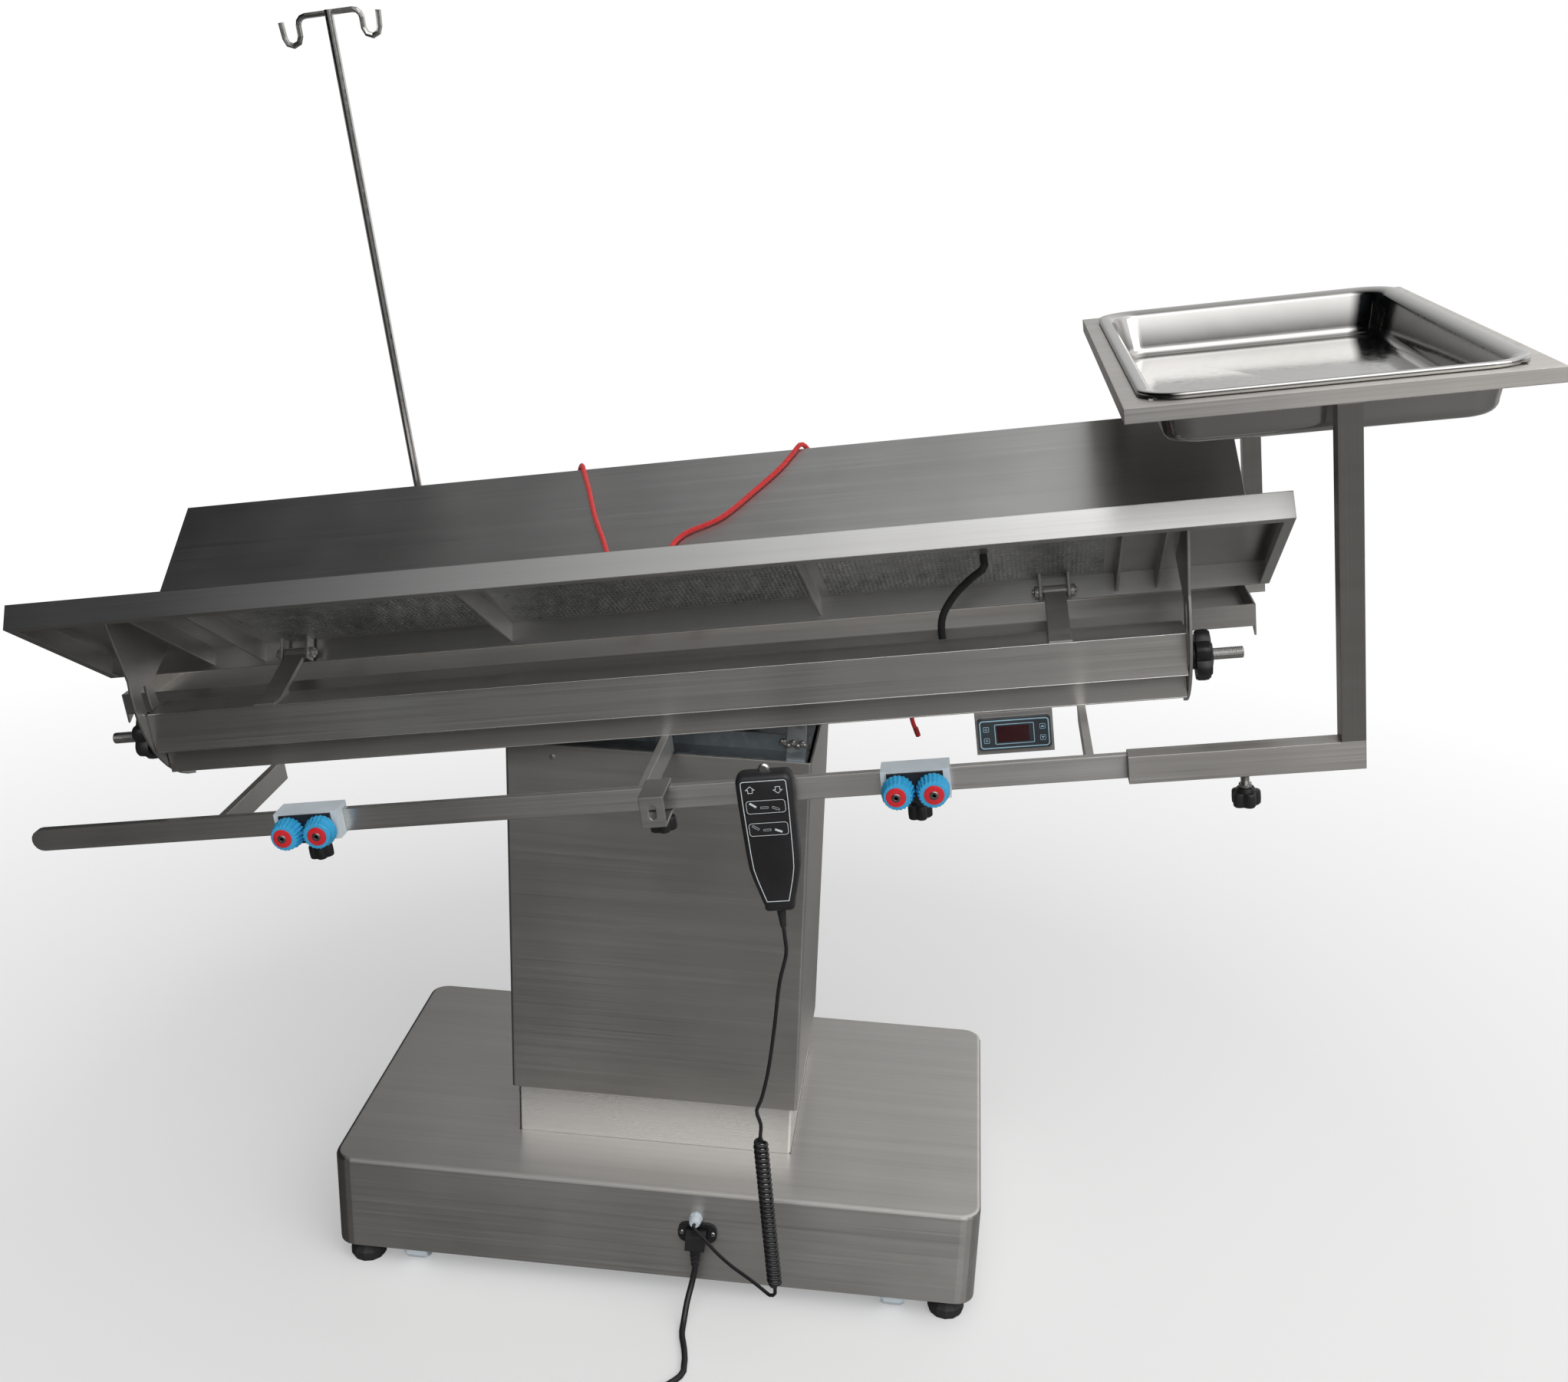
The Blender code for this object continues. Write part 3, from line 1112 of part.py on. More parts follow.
def socket_clamp(table):
    """Open box clamp on the front rail, with a slotted front plate and its knob below."""
    x0, x1 = CLAMP_LEFT, CLAMP_LEFT + CLAMP_WIDTH
    clamp = block("socket_clamp", (x0, -CLAMP_FRONT_Y, CLAMP_BOTTOM), (x1, -CLAMP_BACK_Y, CLAMP_TOP),
                  steel(), table)
    t = CLAMP_SHEET
    inside = block("inside", (x0 - CUT_OVERRUN, -CLAMP_FRONT_Y + t, CLAMP_BOTTOM + t),
                   (x1 + CUT_OVERRUN, -CLAMP_BACK_Y - t, CLAMP_TOP - t))
    middle = (x0 + x1) / 2
    height = (CLAMP_TOP + CLAMP_BOTTOM) / 2
    slot = prism("slot", rounded(CLAMP_SLOT_WIDTH / 2, CLAMP_SLOT_HEIGHT / 2, CLAMP_SLOT_WIDTH / 2.2, 5,
                                 (middle, height)),
                 "Y", -CLAMP_FRONT_Y - CUT_OVERRUN, -CLAMP_FRONT_Y + t + CUT_OVERRUN)
    bore = prism("bore", circle(SMALL_STUD_RADIUS + GAP, 12, (middle, -rail_middle_y())), "Z",
                 CLAMP_BOTTOM - CUT_OVERRUN, CLAMP_BOTTOM + t + CUT_OVERRUN)
    cut(clamp, inside, slot, bore)
    axis = empty("socket_knob_axis", (middle, -rail_middle_y(), rail_underside() - GAP), table)
    drop = rail_underside() - GAP - CLAMP_BOTTOM + GAP
    small_knob("socket_knob", SMALL_KNOB_RADIUS, SMALL_KNOB_NECK, drop, axis)


def cleat_block_body(name, place, side, look, table, spacing):
    """Nylon block on a rail, with its front plate and two cam pins."""
    x0, x1 = place - CLEAT_WIDTH / 2, place + CLEAT_WIDTH / 2
    y0, y1 = sorted((side * CLEAT_FRONT_Y, side * CLEAT_BACK_Y))
    body = block(name, (x0, y0, CLEAT_BOTTOM - GAP), (x1, y1, CLEAT_TOP), look, table)
    tunnel_y0, tunnel_y1 = sorted((side * (RAIL_FRONT_Y + GAP), side * (RAIL_FRONT_Y - RAIL_SHEET - GAP)))
    half = RAIL_HEIGHT / 2 + GAP
    tunnel = block("tunnel", (x0 - CUT_OVERRUN, tunnel_y0, RAIL_CENTRE - half),
                   (x1 + CUT_OVERRUN, tunnel_y1, RAIL_CENTRE + half))
    bore = prism("bore", circle(SMALL_STUD_RADIUS + GAP, 12, (place, side * rail_middle_y())), "Z",
                 CLEAT_BOTTOM - GAP - CUT_OVERRUN, RAIL_CENTRE)
    cut(body, tunnel, bore)
    p0, p1 = sorted((side * (CLEAT_FRONT_Y - WELD_OVERLAP), side * (CLEAT_FRONT_Y + CLEAT_PLATE)))
    plate = block("plate", (x0 + CLEAT_PLATE_MARGIN, p0, CLEAT_BOTTOM + CLEAT_PLATE_MARGIN / 2),
                  (x1 - CLEAT_PLATE_MARGIN, p1, CLEAT_TOP - CLEAT_PLATE_TOP_MARGIN))
    pins = []
    face = CLEAT_FRONT_Y + CLEAT_PLATE
    for end in (-1, 1):
        stations = [(CAM_PIN_RADIUS, face - WELD_OVERLAP),
                    (CAM_PIN_RADIUS, face + CAM_THICKNESS + GAP * 2),
                    (CAM_HEAD_RADIUS, face + CAM_THICKNESS + GAP * 2),
                    (CAM_HEAD_RADIUS, face + CAM_THICKNESS + GAP * 2 + CAM_HEAD)]
        profile = [(r, side * y) for r, y in stations]
        pins.append(turned("pin", profile, "Y", (place + end * spacing / 2, RAIL_CENTRE), 12))
    weld(body, plate, *pins)
    return body


def cam_outline(teeth, bite_share=0.07):
    """A toothed, slightly eccentric rope cam about its pin."""
    points = []
    for i in range(teeth * 2):
        angle = math.tau * i / (teeth * 2)
        reach = CAM_RADIUS - CAM_ECCENTRICITY * math.cos(angle)
        reach *= 1 - bite_share * (i % 2)
        points.append((reach * math.cos(angle), reach * math.sin(angle)))
    return points


def cams(place, side, word, table):
    face = CLEAT_FRONT_Y + CLEAT_PLATE + GAP
    for label, end in (("a", -1), ("b", 1)):
        name = f"{word}_cleat_cam_{label}"
        axis = empty(name + "_axis", (place + end * CAM_SPACING / 2, 0.0, RAIL_CENTRE), table)
        outline = [(end * x, z) for x, z in cam_outline(CAM_TEETH)]
        y0, y1 = sorted((side * face, side * (face + CAM_THICKNESS)))
        cam = prism(name, outline, "Y", y0, y1, blue_plastic(), axis)
        bore = prism("bore", circle(CAM_PIN_RADIUS + CAM_BORE_CLEARANCE, 12), "Y",
                     y0 - CUT_OVERRUN, y1 + CUT_OVERRUN)
        cut(cam, bore)


def front_cleats(table):
    for word, place in zip(("left", "right"), CLEAT_PLACES):
        carrier = empty(f"{word}_cleat_slide", (0.0, 0.0, 0.0), table)
        cleat_block_body(f"{word}_cleat_block", place, -1, white_nylon(), carrier, CAM_SPACING)
        cams(place, -1, word, carrier)
        axis = empty(f"{word}_cleat_knob_axis",
                     (place, -rail_middle_y(), rail_underside() - GAP * 2), carrier)
        small_knob(f"{word}_cleat_knob", CLEAT_KNOB_RADIUS, SMALL_KNOB_NECK,
                   CLEAT_KNOB_DROP - SMALL_KNOB_NECK, axis)


def rear_cleats(table):
    """The same cleats on the rear rail, each one joined body, with the cams open around the rope."""
    for word, place in zip(("left", "right"), REAR_CLEAT_PLACES):
        body = cleat_block_body(f"rear_{word}_cleat", place, 1, white_nylon(), table, REAR_CAM_SPACING)
        face = CLEAT_FRONT_Y + CLEAT_PLATE
        parts = []
        for end in (-1, 1):
            centre = place + end * REAR_CAM_SPACING / 2
            outline = [(centre + end * x, RAIL_CENTRE + z) for x, z in cam_outline(REAR_CAM_TEETH)]
            parts.append(prism("cam", outline, "Y", face - WELD_OVERLAP, face + CAM_THICKNESS))
        low = CLEAT_BOTTOM - GAP
        grip_top = low - SMALL_KNOB_NECK
        grip = prism("grip", [(place + x, rail_middle_y() + y) for x, y in star_outline(CLEAT_KNOB_RADIUS)],
                     "Z", grip_top - SMALL_KNOB_THICKNESS, grip_top)
        neck = prism("neck", circle(SMALL_KNOB_NECK_RADIUS * 0.8, 12, (place, rail_middle_y())), "Z",
                     grip_top - WELD_OVERLAP, low + WELD_OVERLAP)
        weld(body, *parts, grip, neck)


def handset(table):
    """Hand control hung on the front rail: tapered shell, hook, strain relief and two rockers."""
    middle, half = HANDSET_CENTRE, HANDSET_WIDTH / 2
    tail = HANDSET_TAIL_WIDTH / 2
    height = HANDSET_TOP - HANDSET_BOTTOM
    front, back = -(HANDSET_BACK_Y + HANDSET_THICKNESS), -HANDSET_BACK_Y
    loops = []
    edge = HANDSET_CORNER / 3
    for inset, y in ((edge, front), (0.0, front + edge), (0.0, back - edge), (edge, back)):
        outline = [(middle - half + inset + HANDSET_CORNER, HANDSET_TOP - inset),
                   (middle - half + inset, HANDSET_TOP - HANDSET_CORNER),
                   (middle - half + inset, HANDSET_TOP - height * 0.30),
                   (middle - half * 0.92 + inset, HANDSET_TOP - height * 0.68),
                   (middle - tail * 0.86 + inset, HANDSET_BOTTOM + HANDSET_CORNER),
                   (middle - tail * 0.76 + inset, HANDSET_BOTTOM + inset),
                   (middle + tail * 0.76 - inset, HANDSET_BOTTOM + inset),
                   (middle + tail * 0.86 - inset, HANDSET_BOTTOM + HANDSET_CORNER),
                   (middle + half * 0.92 - inset, HANDSET_TOP - height * 0.68),
                   (middle + half - inset, HANDSET_TOP - height * 0.30),
                   (middle + half - inset, HANDSET_TOP - HANDSET_CORNER),
                   (middle + half - inset - HANDSET_CORNER, HANDSET_TOP - inset)]
        loops.append([(x, y, z) for x, z in outline])
    shell = loft("handset", loops, black_plastic(), table)
    rail_top = RAIL_CENTRE + RAIL_HEIGHT / 2
    rail_back = -(RAIL_FRONT_Y - RAIL_SHEET)
    over = block("over", (middle - HOOK_WIDTH / 2, back - edge * 1.5, rail_top + GAP),
                 (middle + HOOK_WIDTH / 2, rail_back + GAP + HOOK_SHEET, rail_top + GAP + HOOK_SHEET))
    down = block("down", (middle - HOOK_WIDTH / 2 + WELD_OVERLAP, rail_back + GAP,
                          rail_top - RAIL_HEIGHT / 2),
                 (middle + HOOK_WIDTH / 2 - WELD_OVERLAP, rail_back + GAP + HOOK_SHEET - WELD_OVERLAP,
                  rail_top + GAP + HOOK_SHEET - WELD_OVERLAP))
    centre_y = (front + back) / 2
    relief = turned("relief", [(RELIEF_TOP_RADIUS, HANDSET_BOTTOM + WELD_OVERLAP * 2),
                               (RELIEF_TOP_RADIUS, HANDSET_BOTTOM - RELIEF_LENGTH * 0.2),
                               (RELIEF_END_RADIUS, HANDSET_BOTTOM - RELIEF_LENGTH)],
                    "Z", (middle, centre_y), 12)
    weld(shell, over, down, relief)
    recesses = []
    gap = ROCKER_RECESS_GAP
    for drop in ROCKER_DROPS:
        z = HANDSET_TOP - drop
        recesses.append(block("recess", (middle - ROCKER_WIDTH / 2 - gap, front - CUT_OVERRUN,
                                         z - ROCKER_HEIGHT / 2 - gap),
                              (middle + ROCKER_WIDTH / 2 + gap, front + ROCKER_THICKNESS,
                               z + ROCKER_HEIGHT / 2 + gap)))
    cut(shell, *recesses)
    for word, drop in zip(("lift", "tilt"), ROCKER_DROPS):
        z = HANDSET_TOP - drop
        name = f"handset_{word}_rocker"
        axis = empty(name + "_axis", (middle, front + ROCKER_THICKNESS - GAP, z), table)
        low, high = -ROCKER_HEIGHT / 2, ROCKER_HEIGHT / 2
        half_w = ROCKER_WIDTH / 2
        crown = -ROCKER_THICKNESS * 0.9
        outline = [(-half_w, -ROCKER_THICKNESS * 0.3), (0.0, 0.0), (half_w, -ROCKER_THICKNESS * 0.3),
                   (half_w, crown), (-half_w, crown)]
        prism(name, outline, "Z", low, high, black_plastic(), axis)


def handset_cord_start():
    """The lower end of the handset's strain relief, in the frame's own coordinates."""
    return (HANDSET_CENTRE, -(HANDSET_BACK_Y + HANDSET_THICKNESS / 2),
            HANDSET_BOTTOM - RELIEF_LENGTH - GAP)


def controller(table):
    """Temperature controller under the near beam: box, face and four keys."""
    x0, x1 = CONTROLLER_LEFT, CONTROLLER_LEFT + CONTROLLER_WIDTH
    top = BEAM_BOTTOM - GAP
    low = top - CONTROLLER_HEIGHT
    front = -CONTROLLER_FRONT_Y
    box = block("controller_housing", (x0, front, low), (x1, front + CONTROLLER_DEPTH, top), steel(), table)
    middle, height = (x0 + x1) / 2, (top + low) / 2
    face = prism("face", rounded(CONTROLLER_FACE_WIDTH / 2, CONTROLLER_FACE_HEIGHT / 2,
                                 CONTROLLER_FACE, 3, (middle, height)),
                 "Y", front - CONTROLLER_FACE, front + WELD_OVERLAP)
    weld(box, face)
    pockets = []
    places = {"set": (-1, 1), "rest": (-1, -1), "up": (1, 1), "down": (1, -1)}
    face_y = front - CONTROLLER_FACE
    for side_x, side_z in places.values():
        x = middle + side_x * KEY_PLACE_X
        z = height + side_z * KEY_PLACE_Z
        pockets.append(block("pocket", (x - KEY_WIDTH / 2 - KEY_GAP, face_y - CUT_OVERRUN,
                                        z - KEY_HEIGHT / 2 - KEY_GAP),
                             (x + KEY_WIDTH / 2 + KEY_GAP, face_y + KEY_THICKNESS,
                              z + KEY_HEIGHT / 2 + KEY_GAP)))
    cut(box, *pockets)
    for word, (side_x, side_z) in places.items():
        axis = empty(f"controller_key_{word}_axis",
                     (middle + side_x * KEY_PLACE_X, face_y, height + side_z * KEY_PLACE_Z), table)
        block(f"controller_key_{word}", (-KEY_WIDTH / 2, -KEY_GAP, -KEY_HEIGHT / 2),
              (KEY_WIDTH / 2, KEY_THICKNESS - KEY_GAP, KEY_HEIGHT / 2), black_plastic(), axis)


def tray_stand(table):
    """Two L-shaped tubes on the rail ends, welded to the frame that holds the tray."""
    half_h = TRAY_TUBE_HEIGHT / 2
    frame_low = TRAY_FRAME_TOP - TRAY_FRAME_HEIGHT
    outer = TRAY_FRAME_HALF_WIDTH
    frame = block("tray_stand", (TRAY_FRAME_LEFT, -outer, frame_low),
                  (TRAY_FRAME_RIGHT, outer, TRAY_FRAME_TOP), steel(), table)
    bar = TRAY_FRAME_BAR
    opening = block("opening", (TRAY_FRAME_LEFT + bar, -outer + bar, frame_low - CUT_OVERRUN),
                    (TRAY_FRAME_RIGHT - bar, outer - bar, TRAY_FRAME_TOP + CUT_OVERRUN))
    cut(frame, opening)
    tubes = []
    inner_cuts = []
    for side in (-1, 1):
        y0, y1 = sorted((side * TRAY_TUBE_FRONT_Y, side * (TRAY_TUBE_FRONT_Y - TRAY_TUBE_DEPTH)))
        outline = [(TRAY_TUBE_LEFT, RAIL_CENTRE - half_h), (POST_LEFT + POST_WIDTH, RAIL_CENTRE - half_h),
                   (POST_LEFT + POST_WIDTH, frame_low + WELD_OVERLAP), (POST_LEFT, frame_low + WELD_OVERLAP),
                   (POST_LEFT, RAIL_CENTRE + half_h), (TRAY_TUBE_LEFT, RAIL_CENTRE + half_h)]
        tubes.append(prism("tube", outline, "Y", y0, y1))
        t = TRAY_TUBE_SHEET
        inner_cuts.append(block("bore", (TRAY_TUBE_LEFT - CUT_OVERRUN, y0 + t, RAIL_CENTRE - half_h + t),
                                (POST_LEFT - t, y1 - t, RAIL_CENTRE + half_h - t)))
    weld(frame, *tubes)
    screw = prism("screw", circle(SMALL_STUD_RADIUS + GAP, 12, (TRAY_KNOB_PLACE, -rail_middle_y())), "Z",
                  RAIL_CENTRE - half_h - CUT_OVERRUN, RAIL_CENTRE - half_h + t + CUT_OVERRUN)
    cut(frame, screw, *inner_cuts)
    axis = empty("tray_knob_axis", (TRAY_KNOB_PLACE, -rail_middle_y(), rail_underside() - GAP), table)
    drop = rail_underside() - GAP - (RAIL_CENTRE - half_h) + TRAY_KNOB_DROP - SMALL_KNOB_NECK
    small_knob("tray_knob", SMALL_KNOB_RADIUS, SMALL_KNOB_NECK, drop, axis)


def instrument_tray(table):
    """Deep pressed tray, lying on the stand's frame by its rim."""
    left = TRAY_FRAME_LEFT + TRAY_RIM_MARGIN
    right = TRAY_FRAME_RIGHT - TRAY_RIM_MARGIN
    centre = ((left + right) / 2, 0.0)
    half_x = (right - left) / 2
    half_y = TRAY_FRAME_HALF_WIDTH - TRAY_RIM_MARGIN
    rest = TRAY_FRAME_TOP + GAP
    t, wide = TRAY_SHEET, TRAY_RIM_WIDTH
    floor = rest - TRAY_DEPTH
    slope = TRAY_WALL_SLOPE
    stations = [(wide + slope * 2.2, floor), (wide + slope, floor + slope * 0.8), (wide, rest - t),
                (wide - t / 2, rest), (t, rest), (0.0, rest + t), (0.0, rest + TRAY_RIM_RISE / 2),
                (t, rest + TRAY_RIM_RISE), (t * 3, rest + TRAY_RIM_RISE),
                (wide - t, rest + t * 1.6), (wide + t, rest - t),
                (wide + slope + t, floor + slope * 0.8 + t / 2), (wide + slope * 2.2 + t, floor + t)]
    loops = []
    for inset, z in stations:
        corner = max(TRAY_CORNER - inset * 0.5, TRAY_CORNER / 3)
        loops.append([(x, y, z) for x, y in
                      rounded(half_x - inset, half_y - inset, corner, 5, centre)])
    tray = loft("tray", loops, polished(), table)
    smooth(tray, math.radians(50))
    return tray


def iv_pole(table):
    """Infusion pole with its two hooks, in a foot that clamps on the rear rail."""
    place, y, top = POLE_PLACE, POLE_Y, POLE_TOP
    half = POLE_FOOT_WIDTH / 2
    half_h = RAIL_HEIGHT / 2
    foot = block("iv_pole", (place - half, CLEAT_BACK_Y, RAIL_CENTRE - half_h - GAP * 10),
                 (place + half, POLE_FOOT_FRONT_Y, RAIL_CENTRE + half_h + GAP * 10), polished(), table)
    tunnel = block("tunnel", (place - half - CUT_OVERRUN, RAIL_FRONT_Y - RAIL_SHEET - GAP,
                              RAIL_CENTRE - half_h - GAP),
                   (place + half + CUT_OVERRUN, RAIL_FRONT_Y + GAP, RAIL_CENTRE + half_h + GAP))
    cut(foot, tunnel)
    shaft = turned("shaft", [(POLE_RADIUS, RAIL_CENTRE), (POLE_RADIUS, top)], "Z", (place, y), 12)
    parts = [shaft]
    bar = HOOK_BAR_RADIUS
    reach = POLE_RADIUS * 8
    bend = POLE_RADIUS * 2
    for end in (-1, 1):
        path = [(place - end * bar, y, top - bar), (place + end * (reach - bend), y, top - bar)]
        path += [(place + end * (reach - bend + bend * math.sin(a)), y, top - bar - bend * (1 - math.cos(a)))
                 for a in (math.pi / 6, math.pi / 3, math.pi / 2)]
        low = top - bar - bend * 2.2
        path += [(place + end * reach, y, low)]
        path += [(place + end * (reach + bend * (1 - math.cos(a))), y, low - bend * math.sin(a))
                 for a in (math.pi / 4, math.pi / 2, math.pi * 3 / 4, math.pi)]
        path += [(place + end * (reach + bend * 2.15), y, low + bend * 1.8)]
        parts.append(rod("hook", path, bar, sides=7))
    weld(foot, *parts)
    smooth(foot)
    return foot


def from_table(point):
    """A point of the tilted frame, in the base's own coordinates."""
    u, v, w = point
    x = u - TABLE_SHIFT
    z = w + TABLE_RISE
    c, s = math.cos(TABLE_TILT), math.sin(TABLE_TILT)
    return (COLUMN_SHIFT + c * x - s * z, v, PIVOT_HEIGHT + s * x + c * z)


def handset_cords(parent):
    """The straight lead from the handset, and the curly lead down to the gland."""
    start = from_table(handset_cord_start())
    s, c = math.sin(TABLE_TILT), math.cos(TABLE_TILT)
    curl_top = Vector(CURL_TOP)
    route = [start,
             (start[0] + s * 0.012, start[1], start[2] - c * 0.012),
             (start[0] + 0.0035, -0.3093, start[2] - 0.030),
             (0.1478, -0.3093, 0.480),
             (0.1445, -0.3094, 0.430),
             (0.1400, -0.3096, 0.380),
             (0.1340, -0.3096, 0.345),
             (0.1292, -0.3095, 0.3290),
             tuple(curl_top + Vector((0.0, 0.0, 0.012 + GAP))),
             tuple(curl_top + Vector((0.0, 0.0, GAP)))]
    tube("handset_cord", smooth_path(route, HANDSET_CORD_RADIUS * CORD_STEP), HANDSET_CORD_RADIUS,
         black_rubber(), parent, 2)
    bottom = Vector(CURL_BOTTOM)
    curls = []
    total = CURL_TURNS * CURL_POINTS
    lead = HANDSET_CORD_RADIUS * 3
    axis = bottom - curl_top
    for i in range(total + 1):
        share = i / total
        angle = math.tau * i / CURL_POINTS
        grow = min(1.0, share * CURL_TURNS * 1.6, (1 - share) * CURL_TURNS * 1.6)
        centre = curl_top + axis * share - Vector((0.0, 0.0, lead)) * (1 - share) + \
            Vector((0.0, 0.0, lead)) * share
        curls.append(centre + Vector((math.cos(angle), math.sin(angle), 0.0)) * CURL_RADIUS * grow)
    gland_face = -BASE_WIDTH / 2 - GAP * 2 - GLAND_LENGTH
    tail = smooth_path([tuple(bottom + Vector((0.0, 0.0, lead * 0.4))),
                        tuple(bottom - Vector((0.0, 0.0, lead * 0.7))),
                        (0.1495, -0.2990, 0.0905),
                        (0.1400, -0.2925, 0.0925),
                        (0.1240, -0.2820, 0.0960),
                        (0.1030, -0.2680, 0.0990),
                        (0.0850, -0.2540, 0.1030),
                        (0.0690, -0.2400, 0.1080),
                        (0.0580, -0.2310, 0.1110),
                        (GLAND_X, gland_face - HANDSET_CORD_RADIUS * 3, GLAND_HEIGHT),
                        (GLAND_X, gland_face, GLAND_HEIGHT)], HANDSET_CORD_RADIUS * CORD_STEP)
    path = [curl_top] + curls + tail[1:]
    report_gap("handset_curl", curls, HANDSET_CORD_RADIUS, CURL_POINTS)
    tube("handset_curl", path, HANDSET_CORD_RADIUS, black_rubber(), parent, 1)


def report_gap(name, points, radius, per_turn):
    """Prints the least clear gap between one turn and the next."""
    least = min((points[i] - points[j]).length for i in range(len(points))
                for j in range(i + per_turn * 3 // 4, min(len(points), i + per_turn * 2)))
    print(f"{name}: least gap to itself {(least - 2 * radius) * 1000:.2f} mm")


def mains_lead(parent):
    """The stretch on the floor, the coil of the spare length, and the plug beside it."""
    exit_point = connector_exit()
    x, y, z = exit_point
    floor = MAINS_RADIUS + GAP / 3
    centre = Vector((COIL_CENTRE[0], COIL_CENTRE[1], 0.0))
    turns = coil_points(centre, floor)
    first = turns[0]
    route = [exit_point,
             (x, y, z - MAINS_RADIUS * 2),
             (x - 0.0025, y - 0.0050, z - 0.023),
             (x - 0.0055, y - 0.0180, z - 0.038),
             (x - 0.0070, y - 0.0340, floor + 0.002),
             (x - 0.0060, y - 0.0500, floor),
             (x + 0.0000, y - 0.0720, floor),
             (x + 0.0040, y - 0.0950, floor),
             (x + 0.0010, y - 0.1180, floor),
             (first[0] - 0.0012, first[1] + 0.0440, floor),
             (first[0], first[1] + 0.0200, floor),
             (first[0], first[1] + GAP, floor)]
    tube("mains_cord", smooth_path(route, MAINS_RADIUS * CORD_STEP), MAINS_RADIUS, black_rubber(), parent, 2)
    report_gap("mains_coil", turns, MAINS_RADIUS, COIL_POINTS)
    tube("mains_coil", turns, MAINS_RADIUS, black_rubber(), parent, 1)
    mains_plug(turns[-1], turns[-1] - turns[-2], parent)


def coil_points(centre, floor):
    """Loops that spiral in on the floor, climb half a turn, and spiral out on top."""
    points = []
    per_layer = COIL_TURNS / COIL_LAYERS
    start_angle = math.pi
    outer = COIL_RADIUS + COIL_STEP * per_layer / 2
    total = COIL_TURNS * COIL_POINTS
    for i in range(total + 1):
        turn = i / COIL_POINTS
        inward = min(turn, COIL_TURNS - turn)
        radius = outer - COIL_STEP * inward
        climb = min(1.0, max(0.0, (turn - per_layer + 0.25) / 0.5))
        climb = climb * climb * (3 - 2 * climb)
        angle = start_angle + math.tau * turn
        points.append(centre + Vector((radius * math.cos(angle), radius * math.sin(angle),
                                       floor + climb * COIL_STEP)))
    lead_in = points[0] + Vector((0.0, MAINS_RADIUS * 2, 0.0))
    ahead = (points[-1] - points[-2]).normalized()
    ahead.z = 0.0
    lead_out = points[-1] + ahead * MAINS_RADIUS * 2
    return [lead_in] + points + [lead_out]


def mains_plug(end, ahead, parent):
    """Round moulded plug with two pins, lying where the coil's last turn ends."""
    ahead = Vector((ahead.x, ahead.y, 0.0)).normalized()
    profile = [(MAINS_RADIUS * 1.3, GAP), (MAINS_RADIUS * 2.0, PLUG_RELIEF * 0.95),
               (PLUG_RADIUS * 0.75, PLUG_RELIEF), (PLUG_RADIUS, PLUG_RELIEF + PLUG_LENGTH * 0.4),
               (PLUG_RADIUS, PLUG_RELIEF + PLUG_LENGTH)]
    plug = turned("mains_plug", profile, "Y", (0.0, 0.0), 16, black_plastic(), None)
    pins = []
    start = PLUG_RELIEF + PLUG_LENGTH
    for side in (-1, 1):
        pins.append(turned("pin", [(PLUG_PIN_RADIUS, start - WELD_OVERLAP),
                                   (PLUG_PIN_RADIUS, start + PLUG_PIN_LENGTH)],
                           "Y", (side * PLUG_PIN_SPACING / 2, 0.0), 10))
    weld(plug, *pins)
    plug.parent = parent
    angle = math.atan2(ahead.y, ahead.x) - math.pi / 2
    plug.matrix_basis = Matrix.Translation(end) @ Matrix.Rotation(angle, 4, "Z")


def panel_point(s, depth, side=-1):
    """A point of the near or far panel, in the frame, from its inner edge and below its top."""
    y = s - HINGE_INSET
    z = HINGE_DEPTH - depth
    c, t = math.cos(PANEL_ANGLE), math.sin(PANEL_ANGLE)
    return (side * (HINGE_Y + y * c - z * t), HINGE_RISE + y * t + z * c)


def panel_cable(table):
    """Braided cable from the near panel's heater to the controller."""
    start_y, start_z = panel_point(0.1060, PANEL_SHEET + GAP * 2)
    near_y, near_z = panel_point(0.1060, PANEL_SHEET + CABLE_RADIUS * 2)
    into_y, into_z = panel_point(0.1060, PANEL_SHEET + CABLE_RADIUS * 4)
    route = [(0.3575, start_y, start_z), (0.3575, near_y, near_z), (0.3565, into_y, into_z),
             (0.3420, -0.1290, 0.0960),
             (0.3220, -0.1160, 0.0740),
             (0.3085, -0.1090, 0.0480),
             (0.3100, -0.1060, 0.0150),
             (0.3270, -0.1050, -0.0080),
             (0.3480, -0.1060, -0.0230),
             (0.3560, -0.1070, -0.0310),
             (0.3560, -0.1070, BEAM_BOTTOM + GAP * 4)]
    tube("panel_cable", smooth_path(route, CABLE_RADIUS * CORD_STEP), CABLE_RADIUS, black_rubber(), table, 2)


